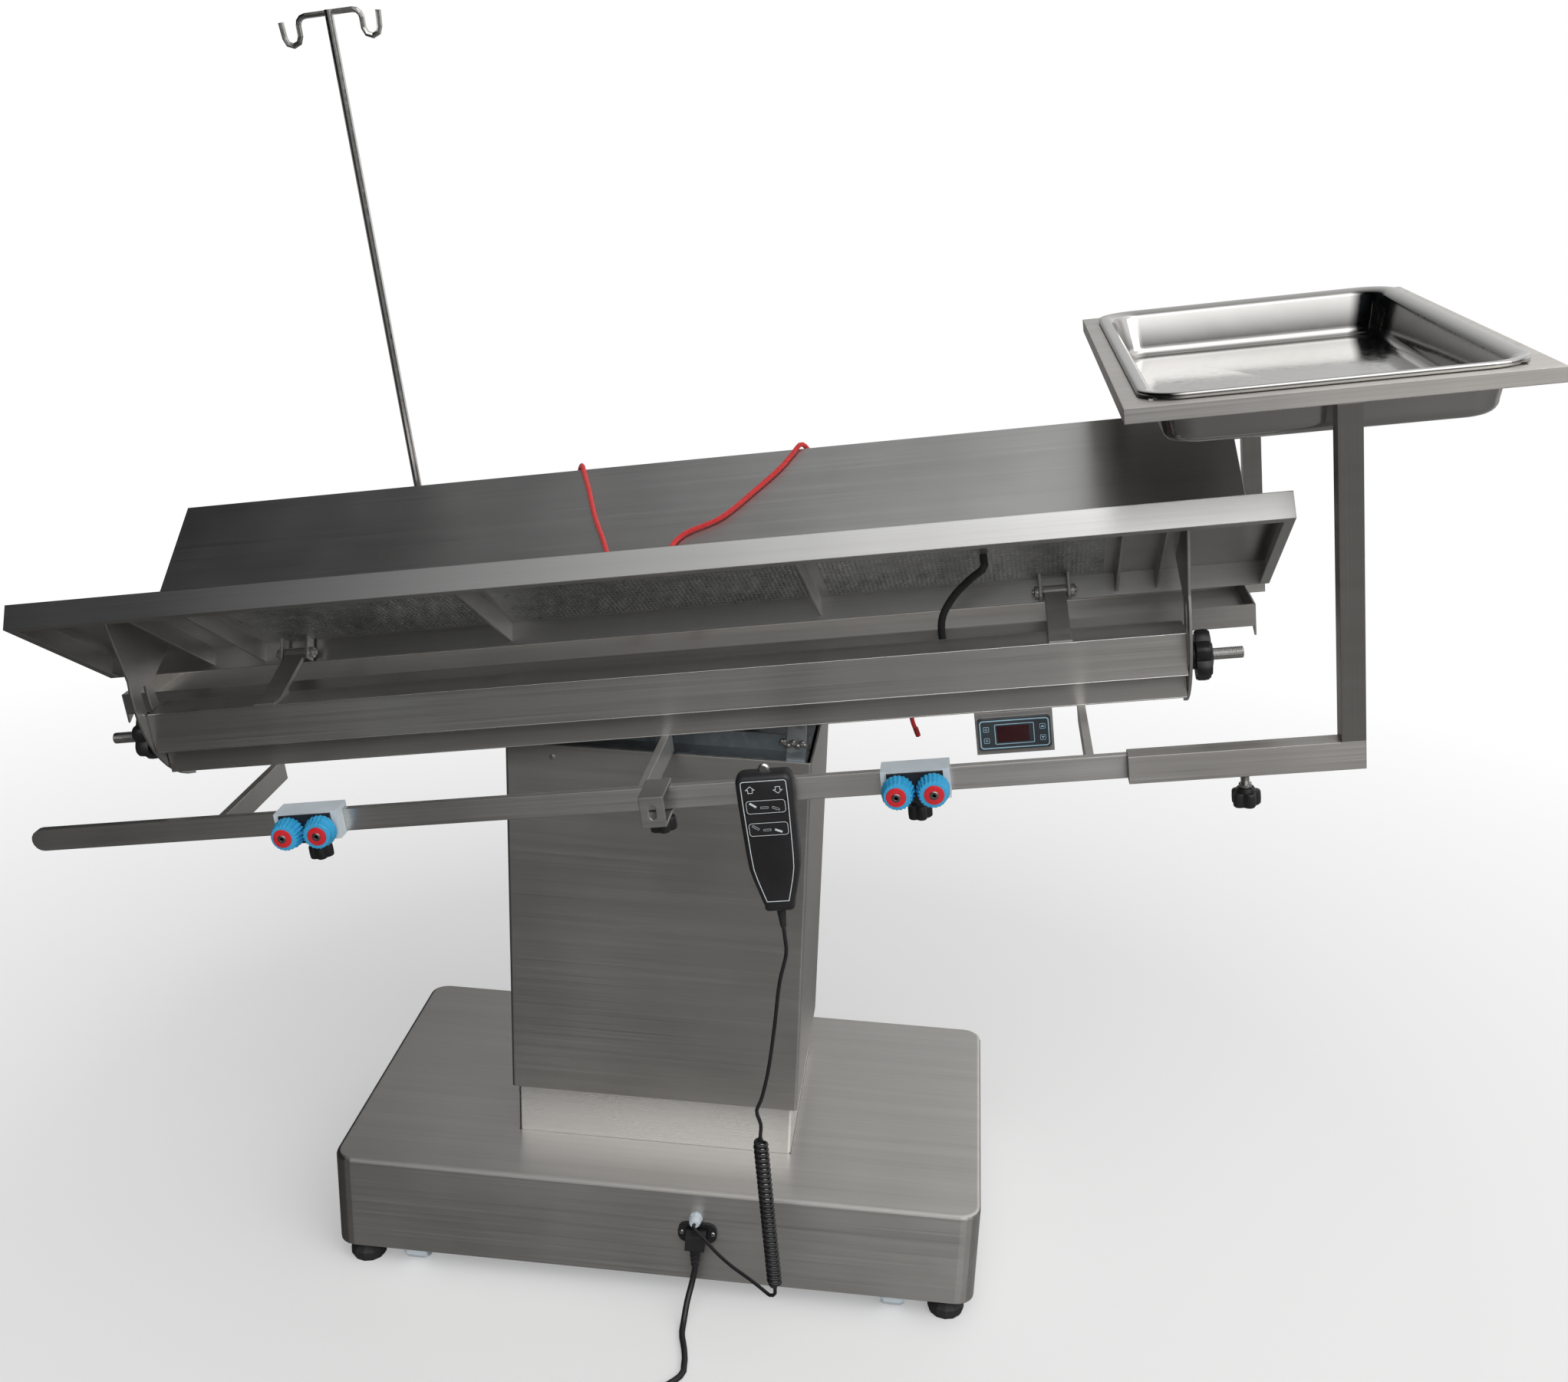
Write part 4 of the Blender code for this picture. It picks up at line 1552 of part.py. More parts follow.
def ropes(table):
    """The two tie ropes: from the rear cleats, over the far rim and down the far panel."""
    outside = PANEL_WIDTH + ROPE_RADIUS * ROPE_SIDE_SHARE
    off_y = CLEAT_FRONT_Y + CLEAT_PLATE + CAM_THICKNESS / 2
    routes = {}
    lying = -ROPE_RADIUS - GAP * ROPE_LIFT_SHARE

    def on_panel(u, s):
        y, z = panel_point(s, lying, 1)
        return (u, y, z)

    def over(u, shift):
        foot_y, foot_z = panel_point(outside, PANEL_RIM * ROPE_FOOT_SHARE, 1)
        side_y, side_z = panel_point(outside, PANEL_RIM * ROPE_HIGH_SHARE, 1)
        top_y, top_z = panel_point(PANEL_WIDTH + ROPE_RADIUS * ROPE_TOP_SHARE, lying * ROPE_TOP_SHARE, 1)
        return [(u + shift, foot_y, foot_z), (u + shift / 2, side_y, side_z), (u, top_y, top_z)]

    left = REAR_CLEAT_PLACES[0]
    routes["rope_left"] = ([(left, off_y, -0.135), (left, off_y, -0.090), (left, off_y, -0.053),
                            (left, off_y, -0.010), (left + 0.012, off_y - 0.006, 0.030),
                            (left + 0.090, 0.278, 0.105)] + over(-0.130, -0.012)
                           + [on_panel(-0.126, 0.1990), on_panel(-0.1175, 0.1700),
                              on_panel(-0.1060, 0.1250), on_panel(-0.0920, 0.0850),
                              on_panel(-0.0800, 0.0450), on_panel(-0.0700, 0.0110)]
                           + [on_panel(-0.0670, -0.0080), (-0.0640, 0.0270, 0.0490),
                              (-0.0600, 0.0200, 0.0330)])
    right = REAR_CLEAT_PLACES[1]
    drop = math.tan(TABLE_TILT)
    routes["rope_right"] = ([(right - 0.186 * drop - 0.0070, off_y, -0.2405),
                             (right - 0.150 * drop - 0.0190, off_y, -0.2120),
                             (right - 0.100 * drop - 0.0240, off_y, -0.1600),
                             (right - 0.050 * drop - 0.0100, off_y, -0.1120), (right, off_y, -0.078),
                             (right, off_y, -0.053), (right, off_y, -0.010),
                             (right - 0.012, off_y - 0.006, 0.030), (right - 0.070, 0.278, 0.105)]
                            + over(0.143, 0.014)
                            + [on_panel(0.1330, 0.1990), on_panel(0.1180, 0.1760),
                               on_panel(0.0900, 0.1440), on_panel(0.0500, 0.1030),
                               on_panel(0.0050, 0.0800), on_panel(-0.0100, 0.0500),
                               on_panel(0.0000, 0.0110)]
                            + [on_panel(0.0040, -0.0080), (0.0080, 0.0270, 0.0490),
                               (0.0120, 0.0200, 0.0330)])
    for name, route in routes.items():
        tube(name, smooth_path(route, ROPE_RADIUS * ROPE_STEP), ROPE_RADIUS, red_braid(), table, 1)


CORD_NODES = ("mains_cord", "mains_coil", "mains_plug", "mains_connector", "handset_cord",
              "handset_curl", "panel_cable", "rope_left", "rope_right")


def centre_on_floor(root):
    """Moves the whole model so that its box, without the cords, stands centred on the origin."""
    bpy.context.view_layer.update()
    graph = bpy.context.evaluated_depsgraph_get()
    corners = []
    for item in bpy.data.objects:
        if item.type != "MESH" or item.name in CORD_NODES:
            continue
        shown = item.evaluated_get(graph)
        corners += [shown.matrix_world @ v.co for v in shown.data.vertices]
    low = Vector([min(c[i] for c in corners) for i in range(3)])
    high = Vector([max(c[i] for c in corners) for i in range(3)])
    root.location = (-(low.x + high.x) / 2, -(low.y + high.y) / 2, -low.z)
    print("origin shift", [round(part, 6) for part in root.location])


def build():
    clear_scene()
    root = empty("table_origin", (0.0, 0.0, 0.0))
    lift = empty("lift_axis", (0.0, 0.0, 0.0), root)
    tilt = empty("tilt_axis", (COLUMN_SHIFT, 0.0, PIVOT_HEIGHT), lift, (0.0, -TABLE_TILT, 0.0))
    table = empty("frame_centre", (-TABLE_SHIFT, 0.0, TABLE_RISE), tilt)
    near = empty("near_hinge_axis", (0.0, -HINGE_Y, HINGE_RISE), table, (-PANEL_ANGLE, 0.0, 0.0))
    far = empty("far_hinge_axis", (0.0, HINGE_Y, HINGE_RISE), table, (PANEL_ANGLE, 0.0, 0.0))
    base_cover(root)
    base_frame(root)
    levelling_feet(root)
    wheelsets(root)
    power_inlet(root)
    mains_connector(root)
    inner_sleeve(root)
    lift_actuator(root, lift)
    outer_sleeve(lift)
    channel_bracket(lift)
    tilt_drive(lift)
    beam("near_beam", -1, table)
    beam("far_beam", 1, table)
    pivot_cradle(table)
    drain_gutter(table)
    rail("front_rail", -1, table)
    rail("rear_rail", 1, table)
    panel("near_panel", -1, near)
    panel("far_panel", 1, far)
    panel_knobs(table)
    socket_clamp(table)
    front_cleats(table)
    rear_cleats(table)
    handset(table)
    controller(table)
    tray_stand(table)
    instrument_tray(table)
    iv_pole(table)
    handset_cords(root)
    mains_lead(root)
    panel_cable(table)
    ropes(table)
    centre_on_floor(root)


build()
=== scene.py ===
from math import atan2, copysign, cos, pi, radians, sin, tan, tau

import bmesh
import bpy
from mathutils import Matrix, Vector


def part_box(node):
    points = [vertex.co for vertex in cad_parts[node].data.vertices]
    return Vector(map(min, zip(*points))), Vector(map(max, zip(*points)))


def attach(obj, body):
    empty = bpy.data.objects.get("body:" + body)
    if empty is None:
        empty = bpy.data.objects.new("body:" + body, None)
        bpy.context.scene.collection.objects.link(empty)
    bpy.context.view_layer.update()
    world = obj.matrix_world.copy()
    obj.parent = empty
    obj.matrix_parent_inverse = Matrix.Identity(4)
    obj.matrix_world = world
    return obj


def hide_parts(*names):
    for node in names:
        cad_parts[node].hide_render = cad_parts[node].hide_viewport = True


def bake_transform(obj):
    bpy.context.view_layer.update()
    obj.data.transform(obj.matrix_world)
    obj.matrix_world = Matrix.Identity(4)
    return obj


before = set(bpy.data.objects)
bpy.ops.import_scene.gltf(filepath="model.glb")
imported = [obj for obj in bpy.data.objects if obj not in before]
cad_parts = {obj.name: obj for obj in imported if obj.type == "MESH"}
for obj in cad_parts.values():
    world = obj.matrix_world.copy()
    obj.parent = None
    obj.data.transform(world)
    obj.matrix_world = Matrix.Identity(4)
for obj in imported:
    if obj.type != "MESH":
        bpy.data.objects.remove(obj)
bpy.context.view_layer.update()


def moved(x, y, z):
    return Matrix.Translation((x, y, z))


# sizes shared with the frame, in metres
TILT = radians(8.73)
COLUMN_X, COLUMN_HALF = -0.012, 0.169
PIVOT_Z = 0.6612
TABLE_SHIFT, TABLE_RISE = -0.0083, 0.055
FOLD = radians(32.63)
HINGE_Y, HINGE_Z = 0.065, 0.058
HINGE_INSET, HINGE_DEPTH = 0.014, 0.02
PANEL_WIDTH, PANEL_RIM = 0.2103, 0.027
RAIL_FRONT, RAIL_BACK, RAIL_W, RAIL_H = 0.2964, 0.2884, -0.0535, 0.0235
RAIL_MID = (RAIL_FRONT + RAIL_BACK) / 2
INLET_X, INLET_Y, INLET_Z = 0.0555, -0.2093, 0.093
GLAND_X, GLAND_Z, GLAND_END = 0.0533, 0.1122, -0.2196
COIL, COIL_REACH = (0.068, -0.429), 0.038
HAND_U, HAND_TOP, HAND_FRONT, HAND_BACK = 0.134, -0.027, 0.3214, 0.2976
ROCKER_DROPS = {"lift": 0.0325, "tilt": 0.056}
STAND_TUBE_TOP, STAND_FRAME_LOW = 0.68, 0.993
CLEATS = {"left": -0.333, "right": 0.279}
REAR_CLEATS = {"left": -0.316, "right": 0.279}
CLEAT_FACE = 0.313 + 0.003
GAP = 0.0003

low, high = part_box("base_cover")
SHIFT = Vector(((low[0] + high[0]) / 2, (low[1] + high[1]) / 2, 0.0))
BASE = Matrix.Translation(SHIFT)
TABLE = (BASE @ moved(COLUMN_X, 0.0, PIVOT_Z) @ Matrix.Rotation(-TILT, 4, "Y")
        @ moved(-TABLE_SHIFT, 0.0, TABLE_RISE))
NEAR = TABLE @ moved(0.0, -HINGE_Y, HINGE_Z) @ Matrix.Rotation(-FOLD, 4, "X")
FAR = TABLE @ moved(0.0, HINGE_Y, HINGE_Z) @ Matrix.Rotation(FOLD, 4, "X")


def add_object(name, data):
    made = bpy.data.objects.new(name, data)
    bpy.context.collection.objects.link(made)
    return made


# camera
def make_camera():
    yaw, pitch, roll = 0.094, 0.3427, 0.0368
    ahead = Vector((-sin(yaw) * cos(pitch), cos(yaw) * cos(pitch), -sin(pitch)))
    side = ahead.cross(Vector((0.0, 0.0, 1.0))).normalized()
    up = side.cross(ahead)
    right = side * cos(roll) + up * sin(roll)
    top = -side * sin(roll) + up * cos(roll)
    data = bpy.data.cameras.new("camera")
    data.sensor_fit = "HORIZONTAL"
    data.sensor_width = 36.0
    data.lens = 36.0 * 2225.1 / 2044.0
    data.clip_end = 60.0
    camera = add_object("camera", data)
    place = Vector((0.2844, -1.8241, 1.3363)) + SHIFT
    turn = Matrix((right, top, -ahead)).transposed().to_4x4()
    camera.matrix_world = Matrix.Translation(place) @ turn
    bpy.context.scene.camera = camera


make_camera()


# small modelling helpers
def finish_piece(name, bm, look, body, place, smooth=35.0, slot=None):
    """An object from a bmesh built in a local frame, riding on a body."""
    bmesh.ops.remove_doubles(bm, verts=bm.verts, dist=1e-6)
    bmesh.ops.recalc_face_normals(bm, faces=bm.faces)
    if place is not None:
        bm.transform(place)
    mesh = bpy.data.meshes.new(name)
    bm.to_mesh(mesh)
    bm.free()
    mesh.materials.append(look)
    mesh.shade_smooth()
    mesh.set_sharp_from_angle(angle=radians(smooth))
    made = add_object(name, mesh)
    if body:
        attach(made, body)
    slot = slot or SLOTS.get(look)
    return made


def add_loft(bm, loops, caps=True):
    rings = [[bm.verts.new(p) for p in loop] for loop in loops]
    count = len(rings[0])
    for one, two in zip(rings, rings[1:]):
        for i in range(count):
            j = (i + 1) % count
            bm.faces.new((one[i], one[j], two[j], two[i]))
    if caps:
        bm.faces.new(rings[0])
        bm.faces.new(rings[-1])


def ring(radius, along, axis, sides, centre, shape=None):
    points = []
    for i in range(sides):
        angle = tau * i / sides
        reach = radius * (shape(angle) if shape else 1.0)
        a, b = centre[0] + reach * cos(angle), centre[1] + reach * sin(angle)
        points.append({"X": (along, a, b), "Y": (a, along, b), "Z": (a, b, along)}[axis])
    return points


def turned(profile, axis="Z", sides=32, centre=(0.0, 0.0), shape=None):
    """The loops of a turned form, from its radii and places along the axis."""
    return [ring(r, a, axis, sides, centre, shape) for r, a in profile]


def piece(name, look, body, place, *lofts, smooth=35.0, caps=True):
    """A piece made of one or more lofts."""
    bm = bmesh.new()
    for loops in lofts:
        add_loft(bm, loops, caps)
    return finish_piece(name, bm, look, body, place, smooth)


def through(place, *points):
    return [place @ Vector(p) for p in points]


def cord_piece(name, points, radius, look, bodies, start, end, node=None, sides=12, **manner):
    """A round cord along points between two bodies, its rings carried along without twist."""
    places = [Vector(p) for p in points]
    side = None
    loops = []
    for i, spot in enumerate(places):
        ahead = (places[min(i + 1, len(places) - 1)] - places[max(i - 1, 0)]).normalized()
        side = ahead.orthogonal().normalized() if side is None else side
        side = (side - ahead * side.dot(ahead)).normalized()
        up = ahead.cross(side)
        loops.append([spot + (side * cos(tau * k / sides) + up * sin(tau * k / sides)) * radius
                for k in range(sides)])
    made = piece(name, look, None, None, loops, smooth=60.0)
    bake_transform(made)
    if node:
        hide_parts(node)


def add_box(bm, lo, hi, bevel=0.0):
    made = bmesh.ops.create_cube(bm, size=1.0)
    lo, hi = Vector(lo), Vector(hi)
    bmesh.ops.scale(bm, vec=hi - lo, verts=made["verts"])
    bmesh.ops.translate(bm, vec=(hi + lo) / 2, verts=made["verts"])
    if bevel:
        edges = {e for v in made["verts"] for e in v.link_edges}
        bmesh.ops.bevel(bm, geom=list(edges), offset=bevel, segments=2, affect="EDGES", profile=0.5)


def smooth_path(points, step):
    """A smooth curve through chosen points, read at even steps and closer at both ends."""
    places = [Vector(p) for p in points]
    ends = [places[0] * 2 - places[1]] + places + [places[-1] * 2 - places[-2]]
    fine = []
    for a, b, c, d in zip(ends, ends[1:], ends[2:], ends[3:]):
        for k in range(24):
            t = k / 24
            fine.append(((b * 2) + (c - a) * t + (a * 2 - b * 5 + c * 4 - d) * t ** 2
                    + (b * 3 - a - c * 3 + d) * t ** 3) / 2)
    fine.append(places[-1])
    total = path_length(fine)
    count = max(3, round(total / step))
    stations = [total * i / count for i in range(count + 1)]
    lead = stations[1] / 2
    stations = [0.0, lead] + stations[1:-1] + [total - lead, total]
    made, run, index = [], 0.0, 0
    for station in stations:
        while index < len(fine) - 2 and run + (fine[index + 1] - fine[index]).length < station:
            run += (fine[index + 1] - fine[index]).length
            index += 1
        edge = fine[index + 1] - fine[index]
        made.append(fine[index] + edge * min(1.0, (station - run) / max(edge.length, 1e-9)))
    return made


def path_length(points):
    return sum((Vector(q) - Vector(p)).length for p, q in zip(points, points[1:]))


def add_stroke(bm, points, width, closed=False, raise_by=0.00012, base=0.0):
    """A printed line of even width in the XY plane, a hair thick."""
    places = [Vector(p) for p in points]
    count = len(places)
    sides = ([], [])
    for i, here in enumerate(places):
        before = places[i - 1] if closed or i else places[0]
        after = places[(i + 1) % count] if closed or i < count - 1 else places[-1]
        one = (here - before).normalized() if before != here else None
        two = (after - here).normalized() if after != here else None
        one = one or two
        two = two or one
        n1, n2 = Vector((-one.y, one.x)), Vector((-two.y, two.x))
        mid = n1 + n2
        mid = mid.normalized() if mid.length > 1e-6 else n1
        reach = width / 2 / max(0.35, mid.dot(n1))
        sides[0].append(here + mid * reach)
        sides[1].append(here - mid * reach)
    top_l, top_r, low_l, low_r = [[bm.verts.new((p.x, p.y, base + up)) for p in side]
            for up in (raise_by, 0.0) for side in sides]
    for i in range(count if closed else count - 1):
        j = (i + 1) % count
        for a, b in ((top_l, top_r), (low_r, low_l), (low_l, top_l), (top_r, low_r)):
            bm.faces.new((a[i], a[j], b[j], b[i]))
    if not closed:
        for k in (0, -1):
            bm.faces.new((top_l[k], top_r[k], low_r[k], low_l[k]))


def rounded(half_a, half_b, radius, centre=(0.0, 0.0), steps=6):
    points = []
    for turn, (a, b) in enumerate(((1, 1), (-1, 1), (-1, -1), (1, -1))):
        for step in range(steps):
            angle = pi / 2 * (turn + step / (steps - 1))
            points.append((centre[0] + a * (half_a - radius) + radius * cos(angle),
                    centre[1] + b * (half_b - radius) + radius * sin(angle)))
    return points


# materials
class Nodes:
    """A short way to wire the nodes of a material or a world."""

    def __init__(self, owner):
        self.owner = bpy.data.materials.new(owner) if isinstance(owner, str) else owner
        self.owner.use_nodes = True
        self.tree = self.owner.node_tree
        self.shader = self.tree.nodes.get("Principled BSDF")

    def add(self, kind, inputs=None, **fields):
        node = self.tree.nodes.new(kind)
        for key, value in fields.items():
            setattr(node, key, value)
        for key, value in (inputs or {}).items():
            if isinstance(value, bpy.types.NodeSocket):
                self.tree.links.new(value, node.inputs[key])
            else:
                node.inputs[key].default_value = value
        return node

    def place(self, tilted=False):
        """The object's coordinates, turned into the tilted table's if asked."""
        source = self.add("ShaderNodeTexCoord").outputs["Object"]
        turn = (0.0, TILT if tilted else 0.0, 0.0)
        return self.add("ShaderNodeMapping", {"Vector": source, "Rotation": turn}).outputs[0]

    def parts(self, vector):
        return self.add("ShaderNodeSeparateXYZ", {"Vector": vector}).outputs

    def rays(self):
        """Whether a spot is seen in a mirror, and whether it is seen straight on."""
        rays = self.add("ShaderNodeLightPath").outputs
        seen = self.maths("MAXIMUM", rays["Is Camera Ray"], rays["Is Transmission Ray"])
        return rays["Is Glossy Ray"], seen

    def sized(self, place, *scale):
        return self.add("ShaderNodeMapping", {"Vector": place, "Scale": scale}).outputs[0]

    def noise(self, vector, scale, detail, rough):
        return self.add("ShaderNodeTexNoise", {"Vector": vector, "Scale": scale, "Detail": detail,
                "Roughness": rough}).outputs["Fac"]

    def spread(self, value, low_in, high_in, low_out, high_out):
        return self.add("ShaderNodeMapRange", {"Value": value, "From Min": low_in,
                "From Max": high_in, "To Min": low_out, "To Max": high_out}).outputs["Result"]

    def ramp(self, value, *stops):
        node = self.add("ShaderNodeValToRGB", {"Fac": value})
        for stop in stops[1:-1]:
            node.color_ramp.elements.new(stop[0])
        for element, (place, colour) in zip(node.color_ramp.elements, stops):
            element.position = place
            element.color = (*colour, 1.0)
        return node.outputs["Color"]

    def maths(self, operation, a, b):
        return self.add("ShaderNodeMath", {0: a, 1: b}, operation=operation).outputs[0]

    def total(self, *terms):
        """The sum of some values, each times its share."""
        first, *others = [self.maths("MULTIPLY", value, share) for value, share in reversed(terms)]
        for other in others:
            first = self.maths("ADD", other, first)
        return first

    def mix(self, factor, one, two):
        inputs = {0: factor, 6: one, 7: two}
        inputs = {key: (*value, 1.0) if isinstance(value, tuple) else value
                for key, value in inputs.items()}
        return self.add("ShaderNodeMix", inputs, data_type="RGBA").outputs[2]

    def even(self, factor, one, two):
        return self.add("ShaderNodeMix", {0: factor, 2: one, 3: two}, data_type="FLOAT").outputs[0]

    def bump(self, height, strength, distance, bevel=0.0):
        inputs = {"Height": height, "Strength": strength, "Distance": distance}
        if bevel:
            inputs["Normal"] = self.add("ShaderNodeBevel", {"Radius": bevel}, samples=4).outputs[0]
        self.link("Normal", self.add("ShaderNodeBump", inputs).outputs[0])

    def link(self, socket, value):
        self.tree.links.new(value, self.shader.inputs[socket])

    def set(self, **values):
        for key, value in values.items():
            self.shader.inputs[key.replace("_", " ")].default_value = value


def brushed(name, tilted, light, dark, rough, bevel, warm=0.03, upright=None):
    """Brushed stainless: streaks along the object, faint smudges, handled edges.

    Between the two heights of upright, the streaks run up instead."""
    n = Nodes(name)
    across, along, wide = 520.0, 3.0, 60.0
    place = n.place(tilted)
    fine_place = n.sized(place, along, across, across)
    grain = n.add("ShaderNodeCombineXYZ", {"X": 1.0}).outputs[0]
    if upright:
        level = n.parts(place)["Z"]
        inside = n.maths("MULTIPLY", n.maths("GREATER_THAN", level, upright[0]),
                n.maths("LESS_THAN", level, upright[1]))
        fine_place = n.mix(inside, fine_place, n.sized(place, across, across, along))
        grain = n.mix(inside, grain, n.add("ShaderNodeCombineXYZ", {"Z": 1.0}).outputs[0])
    streak = n.noise(fine_place, 1.0, 3.0, 0.7)
    band = n.noise(n.sized(place, 1.2, wide, wide), 1.0, 2.0, 0.5)
    cloud = n.noise(place, 5.0, 3.0, 0.55)
    dark_colour = (dark + warm * 0.6, dark + warm * 0.15, dark - warm * 0.5)
    light_colour = (light + warm * 0.6, light + warm * 0.2, light - warm * 0.5)
    value = n.total((streak, 0.45), (band, 0.3), (cloud, 0.25))
    n.link("Base Color", n.ramp(value, (0.32, dark_colour), (0.68, light_colour)))
    n.link("Roughness", n.spread(n.total((streak, 0.5), (cloud, 0.5)),
            0.3, 0.7, rough + 0.03, rough + 0.17))
    n.bump(streak, 0.1, 0.0004, bevel)
    n.link("Tangent", grain)
    n.set(Metallic=1.0, Anisotropic=0.8, Anisotropic_Rotation=0.25)
    return n.owner


def polished(name, rough, tone):
    n = Nodes(name)
    place = n.place()
    cloud = n.noise(place, 9.0, 3.0, 0.6)
    mark = n.noise(place, 160.0, 2.0, 0.5)
    n.link("Base Color", n.ramp(cloud, (0.3, (tone * 0.92, tone * 0.91, tone * 0.88)),
            (0.7, (tone, tone * 0.985, tone * 0.96))))
    n.link("Roughness", n.spread(mark, 0.3, 0.7, rough * 0.7, rough * 1.5))
    n.bump(cloud, 0.12, 0.002, 0.0006)
    n.set(Metallic=1.0)
    return n.owner


def galvanised(name):
    n = Nodes(name)
    cell = n.add("ShaderNodeTexVoronoi", {"Vector": n.place(), "Scale": 90.0}).outputs["Color"]
    grey = n.add("ShaderNodeSeparateColor", {"Color": cell}).outputs["Red"]
    n.link("Base Color", n.ramp(grey, (0.0, (0.34, 0.38, 0.41)), (1.0, (0.5, 0.53, 0.55))))
    n.link("Roughness", n.spread(grey, 0.0, 1.0, 0.34, 0.55))
    n.bump(grey, 0.05, 0.0005, 0.0008)
    n.set(Metallic=0.9)
    return n.owner


def plastic(name, colour, rough, grain=900.0, strength=0.12, bevel=0.0006, vary=0.12):
    """Moulded plastic or rubber with a fine spark-eroded grain."""
    n = Nodes(name)
    place = n.place()
    cloud = n.noise(place, 30.0, 3.0, 0.6)
    fine = n.noise(place, grain, 2.0, 0.6)
    darker = tuple(c * (1.0 - vary) for c in colour)
    lighter = tuple(min(1.0, c * (1.0 + vary) + 0.004) for c in colour)
    n.link("Base Color", n.ramp(cloud, (0.3, darker), (0.7, lighter)))
    n.link("Roughness", n.spread(fine, 0.3, 0.7, rough - 0.06, rough + 0.08))
    n.bump(fine, strength, 0.0003, bevel)
    return n.owner


def foil_material(name):
    """Embossed aluminium heating foil: fine dimples in rows, crumples, and painted glints (near-white
    spots on the raised crests); its tone is also darker in the crumple hollows, a painted shade in part.
    """
    n = Nodes(name)
    place = n.place(True)
    dimple = n.add("ShaderNodeTexVoronoi", {"Vector": place, "Scale": 210.0,
            "Randomness": 0.35}).outputs["Distance"]
    crumple = n.noise(place, 60.0, 4.0, 0.65)
    cloud = n.noise(place, 9.0, 3.0, 0.6)
    # painted glint: near-white where a raised dimple centre meets a crumple crest, standing in for the
    # light they catch
    painted_glint = n.spread(n.maths("MULTIPLY", n.maths("SUBTRACT", 0.62, dimple), crumple),
            0.18, 0.27, 0.0, 1.0)
    # the tone follows a random cloud and the crumples, darker in the crumple hollows: partly random
    # tone, partly painted shade
    shade = n.ramp(n.total((cloud, 0.6), (crumple, 0.4)),
            (0.34, (0.32, 0.33, 0.33)), (0.66, (0.66, 0.66, 0.65)))
    n.link("Base Color", n.mix(painted_glint, shade, (0.9, 0.9, 0.89)))
    n.link("Roughness", n.spread(crumple, 0.3, 0.7, 0.24, 0.42))
    n.bump(n.total((dimple, -0.7), (crumple, 1.0)), 0.8, 0.002)
    n.set(Metallic=0.92)
    return n.owner


def braid(name):
    n = Nodes(name)
    place = n.place()
    cross = n.add("ShaderNodeTexChecker", {"Vector": place, "Scale": 700.0}).outputs["Fac"]
    fuzz = n.noise(place, 420.0, 3.0, 0.6)
    n.link("Base Color", n.ramp(fuzz, (0.3, (0.5, 0.012, 0.014)), (0.7, (0.78, 0.03, 0.03))))
    n.bump(n.total((cross, 0.4), (fuzz, 1.0)), 0.6, 0.0008)
    n.set(Roughness=0.75, Sheen_Weight=0.3)
    return n.owner


STEEL_BASE = brushed("steel_base", False, 0.56, 0.44, 0.36, 0.002)
STEEL_COLUMN = brushed("steel_column", False, 0.5, 0.41, 0.32, 0.0016)
STEEL_TOP = brushed("steel_top", True, 0.56, 0.42, 0.3, 0.0014)
STEEL_PANEL = brushed("steel_panel", True, 0.64, 0.54, 0.27, 0.0014, 0.01)
STEEL_STAND = brushed("steel_stand", True, 0.58, 0.44, 0.3, 0.0012, 0.04,
        (STAND_TUBE_TOP, STAND_FRAME_LOW))
STEEL_RAIL = brushed("steel_rail", True, 0.78, 0.62, 0.26, 0.0012)
POLISHED = polished("polished_steel", 0.14, 0.8)
POLE = polished("pole_steel", 0.16, 0.62)
# painted light: the inner sleeve's steel gets a near-white tone, far above the other steel, to lighten
# it in the shade under the outer sleeve
SLEEVE = brushed("bright_sleeve", False, 0.96, 0.88, 0.2, 0.0012)
TRAY_FINISH = polished("tray_steel", 0.1, 0.52)
GALVANISED = galvanised("galvanised")
ZINC = polished("zinc_fastener", 0.28, 0.66)
SCREW = polished("dark_screw", 0.34, 0.36)
BLACK = plastic("black_moulding", (0.016, 0.016, 0.018), 0.42)
BLACK_KNOB = plastic("black_knob", (0.014, 0.014, 0.015), 0.38, 700.0, 0.18)
RUBBER = plastic("black_rubber", (0.022, 0.022, 0.022), 0.62, 800.0, 0.2)
CORD_SKIN = plastic("cord_skin", (0.014, 0.014, 0.016), 0.4, 600.0, 0.1, 0.0)
NYLON = plastic("white_nylon", (0.62, 0.69, 0.74), 0.42, 500.0, 0.1, 0.0008, 0.05)
BLUE = plastic("blue_cam", (0.035, 0.36, 0.66), 0.34, 700.0, 0.15, 0.0004, 0.1)
RED_CAP = plastic("red_cap", (0.62, 0.012, 0.02), 0.32, 600.0, 0.08, 0.0003, 0.08)
PRINT = plastic("pale_print", (0.62, 0.66, 0.68), 0.5, 400.0, 0.02, 0.0, 0.06)
BLUE_PRINT = plastic("pale_blue_print", (0.35, 0.55, 0.66), 0.5, 400.0, 0.02, 0.0, 0.06)
DISPLAY = plastic("display_window", (0.035, 0.006, 0.008), 0.12, 200.0, 0.02, 0.0, 0.1)
FACE = plastic("controller_face", (0.035, 0.045, 0.055), 0.35, 500.0, 0.05, 0.0005, 0.1)
FOIL = foil_material("heating_foil")
ROPE = braid("red_rope")
WELD = polished("weld_bead", 0.32, 0.4)
ROPE_TIP = plastic("rope_tip", (0.42, 0.012, 0.014), 0.5, 500.0, 0.1, 0.0, 0.1)

# the part's slot that each look belongs to
SLOTS = {look: slot for slot, looks in {
    "polished_stainless": (ZINC, SCREW, TRAY_FINISH), "brushed_stainless": (POLISHED, WELD),
    "black_plastic": (BLACK, BLACK_KNOB, FACE), "black_rubber": (RUBBER, CORD_SKIN),
    "red_braid": (ROPE, ROPE_TIP, RED_CAP), "blue_plastic": (BLUE,), "white_nylon": (NYLON,),
}.items() for look in looks}


